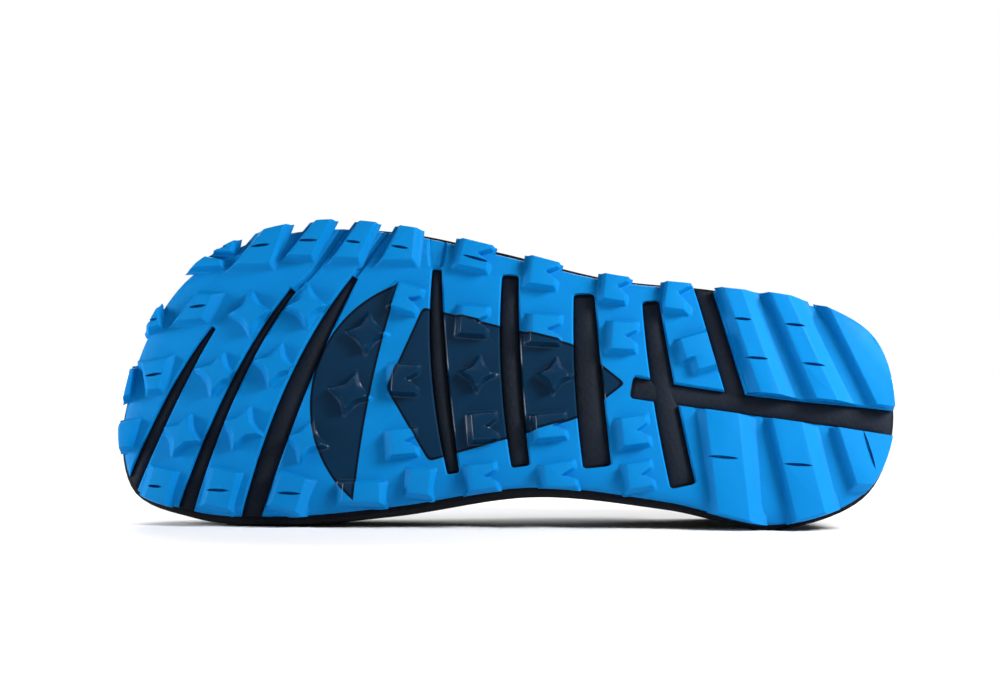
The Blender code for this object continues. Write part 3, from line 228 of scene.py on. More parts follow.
# Soft creases where the upper bends at the ball, and where it sinks at the ankle: a line's two ends in
# plan, how high up it fades out below, its depth and its half width. A negative depth is a ridge.
Crease = namedtuple("Crease", "along0 across0 along1 across1 above depth wide")
CREASES = (
    Crease(213, 40, 217, -40, 34, 0.9, 3.2), Crease(222, 36, 227, -42, 32, 0.7, 3.0),
    Crease(217.5, 38, 222, -40, 36, -0.5, 2.6), Crease(231, 30, 236, -36, 30, 0.45, 2.8),
    Crease(196, 44, 203, 16, 38, 0.6, 3.0), Crease(193, -44, 203, -18, 38, 0.7, 3.0),
    Crease(78, 40, 92, 10, 58, 0.7, 4.0), Crease(96, 40, 106, 10, 60, 0.5, 3.6),
    Crease(72, -55, 90, -30, 58, 0.6, 4.0), Crease(34, 30, 20, -6, 66, 0.4, 4.5),
)


def unit(vectors):
    return vectors / np.linalg.norm(vectors, axis=-1, keepdims=True)


EDGE_POINTS = np.array([(rib.along, rib.across) for rib in SOLE_RIBS], float)
EDGE_STEPS = np.roll(EDGE_POINTS, -1, axis=0) - EDGE_POINTS
KNOTS = np.concatenate([[0], np.cumsum(np.linalg.norm(EDGE_STEPS, axis=1))])
PLACE = {rib.name: KNOTS[i] for i, rib in enumerate(SOLE_RIBS)}
ROUND = KNOTS[-1]
TOE = PLACE["toe tip"]


def column(rows, name, where):
    """A table column at distances round the sole's edge: cubic pieces through its rows, closed."""
    values = np.array([getattr(row, name) for row in rows], float)
    where = np.mod(np.asarray(where, float), ROUND)
    steps = np.diff(KNOTS)
    slopes = (np.roll(values, -1) - values) / steps
    slopes_before, steps_before = np.roll(slopes, 1), np.roll(steps, 1)
    tangents = (slopes * steps_before + slopes_before * steps) / (steps + steps_before)
    i = np.clip(np.searchsorted(KNOTS, where, side="right") - 1, 0, len(values) - 1)
    j = (i + 1) % len(values)
    s = (where - KNOTS[i]) / steps[i]
    rest = 1 - s
    return (
        values[i] * (1 + 2 * s) * rest**2
        + values[j] * s**2 * (3 - 2 * s)
        + steps[i] * s * rest * (tangents[i] * rest - tangents[j] * s)
    )


def edge(where):
    """Plan points of the rubber's edge, and the directions out of it."""
    where = np.asarray(where, float)

    def place(at):
        return np.stack([column(SOLE_RIBS, "along", at), column(SOLE_RIBS, "across", at)], axis=-1)

    ahead = unit(place(where + 1) - place(where - 1))
    return place(where), np.stack([-ahead[..., 1], ahead[..., 0]], axis=-1)


EDGE_LINE = edge(np.linspace(0, ROUND, 600, endpoint=False))[0]


def spring(x):
    """The rise of the toe."""
    start = 0.70 * LENGTH
    return TOE_SPRING * np.clip((x - start) / (LENGTH - start), 0, None) ** 2


def ground(x):
    """The lugs' treading surface."""
    start = 0.09 * LENGTH
    return spring(x) + HEEL_BEVEL * np.clip((start - x) / start, 0, None) ** 2


def edge_lift(points):
    """The rubber's soft turn up towards its edge."""
    points = np.asarray(points, float)
    reach = np.linalg.norm(points[..., None, :2] - EDGE_LINE, axis=-1).min(axis=-1)
    return EDGE_LIFT * np.clip(1 - reach / EDGE_ROUND, 0, 1) ** 2


def rubber_under(points):
    """The rubber's underside between the lugs."""
    points = np.asarray(points, float)
    return ground(points[..., 0]) + LUG_HEIGHT + edge_lift(points)


def last_floor(x):
    """The foam's top, under the foot."""
    return spring(x) + LAST_HEIGHT


def with_height(points, heights):
    heights = np.broadcast_to(np.asarray(heights, float), np.shape(points)[:-1])
    return np.concatenate([points, heights[..., None]], axis=-1)


# Stations round the sole on each side, and points down each of the upper's curves
HALF, CURVE_POINTS = 100, 41
SIDE = np.arange(HALF + 1) / HALF
STATIONS = np.concatenate([SIDE[:-1] * TOE, TOE + SIDE[:-1] * (ROUND - TOE)])
COUNT = len(STATIONS)


def ring(out, height):
    """The edge at every station, moved out, at given heights."""
    points, away = edge(STATIONS)
    points = points + away * np.asarray(out)[..., None] * np.ones((COUNT, 1))
    return with_height(points, height(points) if callable(height) else height)


def crease_depth(points):
    """How far the upper's outside sinks at its creases."""
    depth = np.zeros(points.shape[:-1])
    for crease in CREASES:
        a, b = np.array([crease.along0, crease.across0]), np.array([crease.along1, crease.across1])
        share = np.clip(((points[..., :2] - a) @ (b - a)) / ((b - a) @ (b - a)), 0, 1)
        off = np.linalg.norm(points[..., :2] - (a + share[..., None] * (b - a)), axis=-1)
        high = np.clip((points[..., 2] - crease.above) / 12, 0, 1)
        ends = np.clip(share * (1 - share) * 8, 0.15, 1)
        depth += crease.depth * np.exp(-((off / crease.wide) ** 2)) * high * ends
    return depth


def upper_path(where, shares):
    """Points of the upper's outside: for each place round the edge, at shares of its rib's length."""
    where, shares = np.asarray(where, float), np.asarray(shares, float)
    points, away = edge(where)
    foot_plan = points - away * column(SOLE_RIBS, "inset", where)[..., None]
    foot = with_height(foot_plan, last_floor(foot_plan[..., 0]) + GAP)
    top_plan = np.stack([column(UPPER_RIBS, name, where) for name in ("top_along", "top_across")], axis=-1)
    top = with_height(top_plan, LAST_HEIGHT + column(UPPER_RIBS, "top_up", where))
    height = (top - foot)[..., 2]
    none = np.zeros(where.shape + (1,))
    reach = np.concatenate([top_plan - foot_plan, none], axis=-1)
    bulge = np.concatenate([away, none], axis=-1)
    lift = np.array([0, 0, 1.0])
    first = foot + lift * (column(UPPER_RIBS, "rise", where) * height)[..., None]
    first = first + bulge * column(UPPER_RIBS, "bulge", where)[..., None]
    last = top - reach * column(UPPER_RIBS, "run", where)[..., None]
    last = last - lift * (column(UPPER_RIBS, "drop", where) * height)[..., None]
    s = np.linspace(0, 1, CURVE_POINTS)[:, None]
    curve = (
        foot[..., None, :] * (1 - s) ** 3
        + first[..., None, :] * 3 * s * (1 - s) ** 2
        + last[..., None, :] * 3 * s**2 * (1 - s)
        + top[..., None, :] * s**3
    )
    steps = np.linalg.norm(np.diff(curve, axis=-2), axis=-1)
    gone = np.concatenate([none, np.cumsum(steps, axis=-1)], axis=-1)
    flat_shares = np.broadcast_to(shares, where.shape + shares.shape[-1:]).reshape(where.size, -1)
    found = [
        np.stack([np.interp(row * g[-1], g, c[:, axis]) for axis in range(3)], axis=-1)
        for g, c, row in zip(
            gone.reshape(-1, CURVE_POINTS), curve.reshape(-1, CURVE_POINTS, 3), flat_shares,
        )
    ]
    return np.array(found).reshape(where.shape + (shares.shape[-1], 3)), gone[..., -1]


def upper_sheet(where, shares):
    """The upper's outside with its creases, and the directions out of it."""
    here, length = upper_path(where, shares)
    around = upper_path(where + 1, shares)[0] - upper_path(where - 1, shares)[0]
    above, below = np.clip(shares + 0.01, 0, 1), np.clip(shares - 0.01, 0, 1)
    climb = upper_path(where, above)[0] - upper_path(where, below)[0]
    normals = unit(np.cross(climb, around))
    return here - normals * crease_depth(here)[..., None], normals, length


def wall_of(where, shares):
    """The upper's wall, thicker in the collar's padding below its top line."""
    swell = np.clip((shares - 0.52) / 0.46, 0, 1)
    pad = np.sin(math.pi * swell**1.3) ** 2
    return UPPER_WALL + COLLAR_PAD * np.clip(column(UPPER_RIBS, "pad", where), 0, 1)[..., None] * pad


# The upper as a sheet of points: COARSE rows at its rims and borders, with FINE steps between them
FINE = 4
LENGTHS = upper_path(STATIONS, np.array([0.0, 1.0]))[1]
RIM = column(SOLE_RIBS, "rim", STATIONS) / LENGTHS
GUARD = column(UPPER_RIBS, "guard", STATIONS)
STAY = 1 - np.clip(EYESTAY / LENGTHS, 0.1, 0.5)
COARSE = np.stack(
    [
        0 * RIM, RIM / 2, RIM, (RIM + GUARD) / 2, GUARD, GUARD + (STAY - GUARD) / 3,
        GUARD + (STAY - GUARD) * 2 / 3, STAY, (STAY + 1) / 2, 1 - TOP_LIP / LENGTHS,
    ],
    axis=-1,
)
SPOTS = np.arange(9 * FINE + 1) / FINE
SHARES = np.array([np.interp(SPOTS, np.arange(10), row) for row in COARSE])
SHEET, NORMALS, LENGTHS = upper_sheet(STATIONS, SHARES)
INSIDE = SHEET - NORMALS * wall_of(STATIONS, SHARES)[..., None]
TOP_LINE = upper_path(STATIONS, np.array([1.0]))[0][:, 0] - NORMALS[:, -1] * UPPER_WALL / 2


# Materials

def linear(code):
    """A hex colour in the linear values that shaders read."""
    shares = [int(code[i:i + 2], 16) / 255 for i in (0, 2, 4)]
    return tuple(c / 12.92 if c <= 0.04045 else ((c + 0.055) / 1.055) ** 2.4 for c in shares) + (1,)


def start(name):
    """A new material, its tree and its shader."""
    made = bpy.data.materials.new(name)
    made.use_nodes = True
    return made, made.node_tree, made.node_tree.nodes["Principled BSDF"]


def fill(node, inputs):
    """Values and links on a node's sockets."""
    for socket, value in inputs.items():
        if isinstance(value, bpy.types.NodeSocket):
            node.id_data.links.new(value, node.inputs[socket])
        else:
            node.inputs[socket].default_value = value
    return node


def add(tree, kind, inputs=None, **settings):
    """A shader node with its settings, values and links."""
    node = tree.nodes.new("ShaderNode" + kind)
    for name, value in settings.items():
        setattr(node, name, value)
    return fill(node, inputs or {})


# A curved band ahead of the waist and a long hexagon through the arch, for the printed areas: in plan, mm
BAND_OUTER = ((186.0, 33.0), (219.5, -14.0), (203.0, -50.0))
BAND_INNER = ((186.0, 33.0), (197.5, -12.0), (203.0, -50.0))
HEXAGON = ((191, -7), (177, 24), (119, 9), (101, -6), (118, -19), (175, -35))


def circle_through(points):
    (ax, ay), (bx, by), (cx, cy) = points
    d = 2 * (ax * (by - cy) + bx * (cy - ay) + cx * (ay - by))
    x = ((ax**2 + ay**2) * (by - cy) + (bx**2 + by**2) * (cy - ay) + (cx**2 + cy**2) * (ay - by)) / d
    y = ((ax**2 + ay**2) * (cx - bx) + (bx**2 + by**2) * (ax - cx) + (cx**2 + cy**2) * (bx - ax)) / d
    return (x, y, 0), math.hypot(ax - x, ay - y)


def print_depth(tree):
    """How far inside the printed areas a point is, in millimetres, from the plan kept as a UV map."""
    plan = add(tree, "UVMap", uv_map="plan").outputs[0]
    plan = add(tree, "VectorMath", {0: plan, 1: (100, 100, 100)}, operation="MULTIPLY").outputs[0]
    rounds = []
    for points in (BAND_OUTER, BAND_INNER):
        centre, radius = circle_through(points)
        off = add(tree, "VectorMath", {0: plan, 1: centre}, operation="DISTANCE").outputs["Value"]
        rounds.append(add(tree, "Math", {0: radius, 1: off}, operation="SUBTRACT").outputs[0])
    outside = add(tree, "Math", {0: rounds[1], 1: -1.0}, operation="MULTIPLY").outputs[0]
    band = add(tree, "Math", {0: rounds[0], 1: outside}, operation="MINIMUM").outputs[0]
    hexagon = None
    for (ax, ay), (bx, by) in zip(HEXAGON, HEXAGON[1:] + HEXAGON[:1]):
        long = math.hypot(bx - ax, by - ay)
        inward = (-(by - ay) / long, (bx - ax) / long, 0)
        dot = add(tree, "VectorMath", {0: plan, 1: inward}, operation="DOT_PRODUCT").outputs["Value"]
        near = inward[0] * ax + inward[1] * ay
        side = add(tree, "Math", {0: dot, 1: near}, operation="SUBTRACT").outputs[0]
        if hexagon:
            side = add(tree, "Math", {0: hexagon, 1: side, 2: 3.0}, operation="SMOOTH_MIN").outputs[0]
        hexagon = side
    return add(tree, "Math", {0: band, 1: hexagon}, operation="MAXIMUM").outputs[0]


def blue_rubber():
    """Moulded blue rubber: a matt skin with an orange peel of about 1 mm and a slight cloudiness of about
    30 mm. The navy areas are a smoother, glossier film moulded into it, with a darker line round each."""
    made, tree, shader = start("blue_moulded_rubber")
    place = add(tree, "TexCoord").outputs["Object"]
    depth = print_depth(tree)
    navy = add(tree, "MapRange", {0: depth, 1: -0.15, 2: 0.15}).outputs[0]
    inner = add(tree, "MapRange", {0: depth, 1: 0.7, 2: 1.1}).outputs[0]
    cloud = add(tree, "TexNoise", {"Vector": place, "Scale": 34.0, "Detail": 2.0}).outputs["Fac"]
    blue = add(
        tree, "Mix", {0: cloud, 6: linear("006fb2"), 7: linear("007bc0")}, data_type="RGBA",
    ).outputs[2]
    dark = add(
        tree, "Mix", {0: inner, 6: linear("010713"), 7: linear("052842")}, data_type="RGBA",
    ).outputs[2]
    colour = add(tree, "Mix", {0: navy, 6: blue, 7: dark}, data_type="RGBA").outputs[2]
    patches = add(tree, "TexNoise", {"Vector": place, "Scale": 120.0}).outputs["Fac"]
    matt = add(tree, "MapRange", {0: patches, 1: 0.3, 2: 0.7, 3: 0.50, 4: 0.60}).outputs[0]
    grain = add(tree, "TexNoise", {"Vector": place, "Scale": 900.0, "Detail": 2.0}).outputs["Fac"]
    fill(shader, {
        "Base Color": colour,
        "Roughness": add(tree, "Math", {0: navy, 1: -0.32, 2: matt}, operation="MULTIPLY_ADD").outputs[0],
        "Specular IOR Level": 0.08,
        "Coat Weight": add(tree, "Math", {0: navy, 1: 0.25}, operation="MULTIPLY").outputs[0],
        "Coat Roughness": 0.28,
        "Normal": add(tree, "Bump", {"Height": grain, "Strength": 0.10, "Distance": 0.0004}).outputs[0],
    })
    return made


def foam(name, low, high, pit, rough):
    """Moulded EVA foam: a matt skin with fine pits, pit of them to 100 mm, and a cloudiness of 40 mm."""
    made, tree, shader = start(name)
    place = add(tree, "TexCoord").outputs["Object"]
    cloud = add(tree, "TexNoise", {"Vector": place, "Scale": 26.0}).outputs["Fac"]
    pits = add(tree, "TexVoronoi", {"Vector": place, "Scale": pit * 10.0}).outputs["Distance"]
    skin = add(tree, "Mix", {0: cloud, 6: linear(low), 7: linear(high)}, data_type="RGBA").outputs[2]
    fill(shader, {
        "Base Color": skin,
        "Roughness": rough,
        "Specular IOR Level": 0.12,
        "Normal": add(tree, "Bump", {"Height": pits, "Strength": 0.3, "Distance": 0.0005}).outputs[0],
    })
    return made


def knit(name, low, high, cell, painted_shade_depth, sheen):
    """Knitted polyester: cells of a few threads in relief, cell millimetres across, darker in between as
    painted shade.
    """
    made, tree, shader = start(name)
    weave = add(tree, "UVMap", uv_map="weave").outputs[0]
    cells = add(
        tree, "TexVoronoi", {"Vector": weave, "Scale": 100 / cell, "Randomness": 0.25},
        voronoi_dimensions="2D",
    )
    yarn = add(tree, "MapRange", {0: cells.outputs["Distance"], 1: 0.12, 2: 0.5}).outputs[0]
    cloud = add(tree, "TexNoise", {"Vector": weave, "Scale": 6.0}).outputs["Fac"]
    thread = add(tree, "Mix", {0: cloud, 6: linear(low), 7: linear(high)}, data_type="RGBA").outputs[2]
    # Painted shade: the colour falls towards near black down in each cell's sunken middle, between the
    # threads
    shade = add(tree, "MapRange", {0: yarn, 3: 1.0 - painted_shade_depth, 4: 1.0}).outputs[0]
    colour = add(tree, "Mix", {0: shade, 6: linear("030406"), 7: thread}, data_type="RGBA").outputs[2]
    fill(shader, {
        "Base Color": colour,
        "Roughness": 0.88,
        "Sheen Weight": sheen,
        "Specular IOR Level": 0.2,
        "Normal": add(tree, "Bump", {"Height": yarn, "Strength": 0.6, "Distance": 0.0005}).outputs[0],
    })
    return made


def welded_film():
    """Welded polyurethane film: a matt black skin with a fine pebbled grain of about 1.5 mm."""
    made, tree, shader = start("welded_polyurethane_film")
    place = add(tree, "TexCoord").outputs["Object"]
    patches = add(tree, "TexNoise", {"Vector": place, "Scale": 90.0}).outputs["Fac"]
    grain = add(tree, "TexVoronoi", {"Vector": place, "Scale": 650.0}).outputs["Distance"]
    fill(shader, {
        "Base Color": linear("14161b"),
        "Roughness": add(tree, "MapRange", {0: patches, 1: 0.3, 2: 0.7, 3: 0.62, 4: 0.74}).outputs[0],
        "Specular IOR Level": 0.25,
        "Normal": add(tree, "Bump", {"Height": grain, "Strength": 0.2, "Distance": 0.0004}).outputs[0],
    })
    return made


def braid(name, low, high, pitch):
    """Braided polyester: slanted bundles of yarn in relief, pitch millimetres apart, darker down between
    them as painted shade.
    """
    made, tree, shader = start(name)
    weave = add(tree, "UVMap", uv_map="weave").outputs[0]
    heights = []
    for turn in (0.6, -0.6):
        lie = add(tree, "Mapping", {"Vector": weave, "Rotation": (0, 0, turn)}).outputs[0]
        heights.append(add(tree, "TexWave", {"Vector": lie, "Scale": 100 / pitch / 6.28}).outputs["Fac"])
    yarn = add(tree, "Math", {0: heights[0], 1: heights[1]}, operation="MAXIMUM").outputs[0]
    # Painted shade: the colour goes from low to high with the yarn's height, darker in the grooves
    colour = add(tree, "Mix", {0: yarn, 6: linear(low), 7: linear(high)}, data_type="RGBA").outputs[2]
    fill(shader, {
        "Base Color": colour,
        "Roughness": 0.72,
        "Sheen Weight": 0.3,
        "Normal": add(tree, "Bump", {"Height": yarn, "Strength": 0.6, "Distance": 0.0003}).outputs[0],
    })
    return made


def moulded(name, code, rough):
    """Moulded nylon or sewing thread: one colour, slightly uneven gloss."""
    made, tree, shader = start(name)
    place = add(tree, "TexCoord").outputs["Object"]
    patches = add(tree, "TexNoise", {"Vector": place, "Scale": 700.0}).outputs["Fac"]
    low, high = rough - 0.05, rough + 0.05
    gloss = add(tree, "MapRange", {0: patches, 1: 0.3, 2: 0.7, 3: low, 4: high}).outputs[0]
    fill(shader, {"Base Color": linear(code), "Roughness": gloss})
    return made


RUBBER_BLUE = blue_rubber()
# Black foam for the midsole, also used as the painted shade that closes the eyelets' holes
BLACK_FOAM_AND_HOLE_SHADE = foam("eva_foam_black_and_eyelet_hole_shade", "0c0d11", "13151b", 70, 0.8)
FOAM_CHARCOAL = foam("eva_foam_charcoal", "121821", "19202b", 56, 0.7)
# Each knit's last but one number is how deep the painted shade between its threads goes
KNIT = knit("knitted_polyester_mesh", "1b1f27", "272d37", 2.4, 0.8, 0.2)
LINING = knit("brushed_polyester_lining", "101216", "171a20", 1.0, 0.3, 0.4)
FELT = knit("insole_top_cloth", "0b2036", "10304c", 0.8, 0.2, 0.3)
FILM = welded_film()
LACE_BLUE = braid("braided_polyester_lace", "04508f", "0a79cc", 1.1)
TAPE_BLUE = braid("woven_nylon_tape", "03427a", "0768b4", 1.0)
THREAD = moulded("polyester_sewing_thread", "2b6ea8", 0.7)
NYLON = moulded("black_nylon_eyelet", "15171b", 0.35)


# Meshes

def loft(rings, caps=True, paint=None):
    """A skin over closed rings of points: a circle extruded from ring to ring. Each point keeps its place
    round the ring and how far along it lies, and paint gives the material of each band."""
    bm = bmesh.new()
    spot, run = bm.verts.layers.int.new("spot"), bm.verts.layers.float.new("run")
    rings = [np.asarray(one, float) for one in rings]
    steps = [np.linalg.norm(b - a, axis=-1).mean() for a, b in zip(rings, rings[1:])]
    far = np.concatenate([[0], np.cumsum(steps)])
    for k, vert in enumerate(bmesh.ops.create_circle(bm, segments=len(rings[0]), radius=1)["verts"]):
        vert[spot], vert.co = k, rings[0][k]
    edges = list(bm.edges)
    for n, one in enumerate(rings[1:]):
        made = bmesh.ops.extrude_edge_only(bm, edges=edges)["geom"]
        for part in made:
            if isinstance(part, bmesh.types.BMVert):
                part[run], part.co = far[n + 1], one[part[spot]]
            elif isinstance(part, bmesh.types.BMFace) and paint:
                part.material_index = paint[n]
        edges = [part for part in made if isinstance(part, bmesh.types.BMEdge) and part.is_boundary]
    if caps:
        bmesh.ops.holes_fill(bm, edges=list(bm.edges), sides=0)
    return bm


def unwrap(bm, name):
    """A UV map in tenths of a metre: the plan from above, or the places round and along a loft."""
    layer = bm.loops.layers.uv.new(name)
    if name == "plan":
        for face in bm.faces:
            for loop in face.loops:
                loop[layer].uv = (loop.vert.co.x / 100, loop.vert.co.y / 100)
        return
    spot, run = bm.verts.layers.int["spot"], bm.verts.layers.float["run"]
    most = max(vert[spot] for vert in bm.verts) + 1
    pitch = np.mean([edge.calc_length() for edge in bm.edges if edge.verts[0][run] == edge.verts[1][run]])
    for face in bm.faces:
        spots = [vert[spot] for vert in face.verts]
        wraps = max(spots) - min(spots) > most / 2
        for loop in face.loops:
            here = loop.vert[spot] + (most if wraps and loop.vert[spot] < most / 2 else 0)
            loop[layer].uv = (here * pitch / 100, loop.vert[run] / 100)


def finish_piece(name, bm, materials, nodes=(), sharp=40, layer="weave"):
    """A piece of the scene from a bmesh in the shoe's own axes, turned into the row's frame."""
    unwrap(bm, layer)
    bmesh.ops.recalc_face_normals(bm, faces=bm.faces)
    bm.transform(LAID)
    mesh = bpy.data.meshes.new(name)
    bm.to_mesh(mesh)
    bm.free()
    for one in materials:
        mesh.materials.append(one)
    mesh.shade_smooth()
    mesh.set_sharp_from_angle(angle=math.radians(sharp))
    made = bpy.data.objects.new(name, mesh)
    bpy.context.scene.collection.objects.link(made)
    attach(made, "root")
    if nodes:
        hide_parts(*nodes)
    return made


# Where a dish's grid has its rows between one side and the other, closer together at the sides
ACROSS = (np.sin((np.linspace(0, 1, 27) - 0.5) * math.pi * 0.86) / math.sin(math.pi * 0.43) + 1) / 2


def dish(rings, low_height, high_height):
    """A solid with side rings from a low to a high border, closed below and above by grids."""
    bm = loft(rings, False)
    for border, height in ((rings[0], low_height), (rings[-1], high_height)):
        left = border[: HALF + 1, None]
        right = np.roll(border[::-1], 1, axis=0)[: HALF + 1, None]
        places = left * (1 - ACROSS[:, None]) + right * ACROSS[:, None]
        places[1:-1, 1:-1, 2] = height(places[1:-1, 1:-1, :2])
        grid = bmesh.ops.create_grid(bm, x_segments=len(ACROSS) - 1, y_segments=HALF, size=1)["verts"]
        for vert in grid:
            row = round((vert.co.y + 1) / 2 * HALF)
            place = round((vert.co.x + 1) / 2 * (len(ACROSS) - 1))
            vert.co = places[row, place]
    bmesh.ops.remove_doubles(bm, verts=bm.verts, dist=0.001)
    return bm


def raw_object(name, bm):
    """A cutter, or a solid still to be carved, in the shoe's own axes."""
    bmesh.ops.recalc_face_normals(bm, faces=bm.faces)
    mesh = bpy.data.meshes.new(name)
    bm.to_mesh(mesh)
    bm.free()
    made = bpy.data.objects.new(name, mesh)
    bpy.context.scene.collection.objects.link(made)
    return made


def carved(solids, steps_of):
    """One bmesh of the solids after their Boolean steps. steps_of gives each one's steps and cutters."""
    for solid in solids:
        for operation, cutter in steps_of(solid):
            change = solid.modifiers.new(cutter.name, "BOOLEAN")
            change.object = cutter
            change.operation = operation
            change.solver = "MANIFOLD"
    bpy.context.view_layer.update()
    graph = bpy.context.evaluated_depsgraph_get()
    bm = bmesh.new()
    for solid in solids:
        bm.from_mesh(solid.evaluated_get(graph).to_mesh())
    for solid in solids:
        bpy.data.objects.remove(solid)
    return bm


def within(points, border):
    """Whether any of the plan points lies inside the border."""
    a, b = border, np.roll(border, -1, axis=0)
    x, y = points[:, :1], points[:, 1:]
    turn = np.where(a[:, 1] == b[:, 1], 1e-9, b[:, 1] - a[:, 1])
    meets = (b[:, 0] - a[:, 0]) * (y - a[:, 1]) / turn + a[:, 0]
    crosses = ((a[:, 1] > y) != (b[:, 1] > y)) & (x < meets)
    return bool((crosses.sum(axis=1) % 2).any())


# Sole

def bent(slot, steps):
    """A slot's centre line, the directions along and across it, and its half widths."""
    ends = np.array([
        (slot.along0, slot.across0), (slot.along1, slot.across1), (slot.along2, slot.across2),
    ])
    s = np.linspace(0, 1, steps)[:, None]
    shape = np.concatenate([(1 - s) * (1 - 2 * s), 4 * s * (1 - s), s * (2 * s - 1)], axis=1)
    line = shape @ ends
    ahead = unit(np.gradient(line, axis=0))
    half = shape @ np.array([slot.wide0, slot.wide1, slot.wide2]) / 2
    return line, ahead, np.stack([-ahead[:, 1], ahead[:, 0]], axis=-1), half


# A slot's end: share of the half width to each side, and how far on as a share of it. A slot's upper lip,
# and the skirt round the lugs: how far out, and how deep.
SLOT_END = ((0.96, 0.2), (0.8, 0.38), (0.5, 0.45), (0, 0.45), (-0.5, 0.45), (-0.8, 0.38), (-0.96, 0.2))
SLOT_LIP = ((0.75, -30), (0.75, -0.12), (0.62, 0.03), (0.30, 0.25), (0.08, 0.55), (0.0, 0.95))
SKIRT = ((-1.1, -8), (-1.1, -0.1), (-0.5, 0.10), (-0.15, 0.42), (0.0, 1.0), (0.0, LUG_HEIGHT + 4))
THROUGH = 30


def slot_outline(slot, out=0.0):
    """A slot's border with square ends that are a little rounded at their corners."""
    line, ahead, away, half = bent(slot, 22)
    half = (half + out)[:, None]
    start_cap, end_cap = [], []
    for side, on in SLOT_END:
        end_cap.append(line[-1] + away[-1] * side * half[-1] + ahead[-1] * on * min(half[-1, 0], 3))
        start_cap.append(line[0] - away[0] * side * half[0] - ahead[0] * on * min(half[0, 0], 3))
    return np.array([*(line + away * half), *end_cap, *(line - away * half)[::-1], *start_cap])


def slot_cutter(slot, depth=None):
    """A cutter with rounded upper lips. Without a depth it goes right through the rubber."""
    rings = []
    for out, deep in SLOT_LIP:
        outline = slot_outline(slot, out)
        deep *= 0.5 if depth and deep > 0 else 1
        rings.append(with_height(outline, rubber_under(outline) + deep))
    outline = slot_outline(slot, -0.5 if depth else 0.0)
    rings.append(with_height(outline, rubber_under(outline) + (depth or THROUGH)))
    return raw_object(slot.name, loft(rings))


def rounded(points, radius, steps=5):
    """The outline with its corners rounded off."""
    smooth = []
    for k, here in enumerate(points):
        before, after = points[k - 1] - here, points[(k + 1) % len(points)] - here
        long = min(np.linalg.norm(before), np.linalg.norm(after)) * 0.42
        a, b = here + unit(before) * min(radius, long), here + unit(after) * min(radius, long)
        for s in np.linspace(0, 1, steps):
            smooth.append(a * (1 - s) ** 2 + here * 2 * s * (1 - s) + b * s**2)
    return np.array(smooth)


def run_out(tops, runs):
    """The outline with each side moved out by its run."""
    feet = []
    for k, here in enumerate(tops):
        sides = unit(np.array([here - tops[k - 1], tops[(k + 1) % len(tops)] - here]))
        away = np.stack([sides[:, 1], -sides[:, 0]], axis=-1)
        feet.append(here + np.linalg.solve(away, np.array([runs[k - 1], runs[k]])))
    return feet


def lug_outline(lug):
    """A lug's top in plan, and how far each of its sides runs out to its foot."""
    turn = math.radians(lug.turn)
    ahead = np.array([math.cos(turn), math.sin(turn)])
    side = np.array([-math.sin(turn), math.cos(turn)])
    centre = np.array([lug.along, lug.across])
    shape = LUG_OUTLINES[lug.kind](lug.cut)
    tops = [centre + ahead * a * lug.travel + side * b * lug.wide for a, b in shape]
    runs = {
        "block": (lug.toe_run, SIDE_RUN, lug.heel_run, SIDE_RUN),
        "notched": (lug.toe_run, SIDE_RUN, lug.heel_run, NOTCH_RUN, NOTCH_RUN, lug.heel_run, SIDE_RUN),
        "stepped": (lug.toe_run, NOTCH_RUN, lug.toe_run, SIDE_RUN, lug.heel_run, 2 * SIDE_RUN),
        "star": (lug.toe_run,) * 8,
    }
    return tops, runs[lug.kind]


def ridge_outline(ridge):
    corners = (ridge.toe_medial, ridge.toe_lateral, ridge.heel_lateral, ridge.heel_medial)
    return list(np.array(corners, float)), (ridge.toe_run, ridge.side_run, ridge.heel_run, ridge.side_run)


# A lug from its flat top to its foot: share of its run, how far out besides, share of its height, how far
# below besides, corner radius
LUG_RINGS = (
    (0.0, -0.55, 0.0, 0.0, 0.5), (0.0, -0.18, 0.0, 0.10, 0.6), (0.05, 0.0, 0.0, 0.42, 0.7),
    (0.82, 0.0, 0.84, 0.0, 0.9), (0.97, 0.25, 0.97, 0.0, 1.1), (1.0, 0.85, 1.0, 0.06, 1.4),
    (1.0, 0.95, 1.0, 0.6, 1.4),
)
FOOT, STAR_SOFT = 0.95, 2.4


def lug_object(name, outline):
    """A lug from its flat top to a foot that flares into the rubber."""
    tops, runs = outline
    soft = STAR_SOFT if len(tops) == 8 else 1
    rings = []
    for share, out, deep, more, radius in LUG_RINGS:
        points = rounded(run_out(tops, [run * share + out for run in runs]), radius * soft)
        height = ground(points[:, 0]) * (1 - deep) + rubber_under(points) * deep + more
        rings.append(with_height(points, height))
    return raw_object(name, loft(rings))


def sipe_cutter(k, ends):
    """A lens-shaped cutter for one sipe."""
    a, b = np.array(ends, float)
    side = unit(np.array([a[1] - b[1], b[0] - a[0]]))
    s = np.linspace(0, 1, 7)[:, None]
    half = SIPE_HALF_WIDE * np.sin(math.pi * s) ** 0.5
    points = np.concatenate([a + (b - a) * s + side * half, (a + (b - a) * s - side * half)[-2:0:-1]])
    low = with_height(points, ground(points[:, 0]) - 3)
    high = with_height(points, ground(points[:, 0]) + SIPE_DEPTH)
    return raw_object(f"sipe_{k}", loft([low, high]))


def skirt_cutter():
    """What keeps the lugs inside the sole's edge, with their outer corners rounded off."""
    proud = column(SOLE_RIBS, "proud", STATIONS)
    rings = []
    for out, deep in SKIRT:
        points = ring(proud + out, 0)[:, :2]
        rings.append(with_height(points, ground(points[:, 0]) + deep))
    return raw_object("skirt", loft(rings))


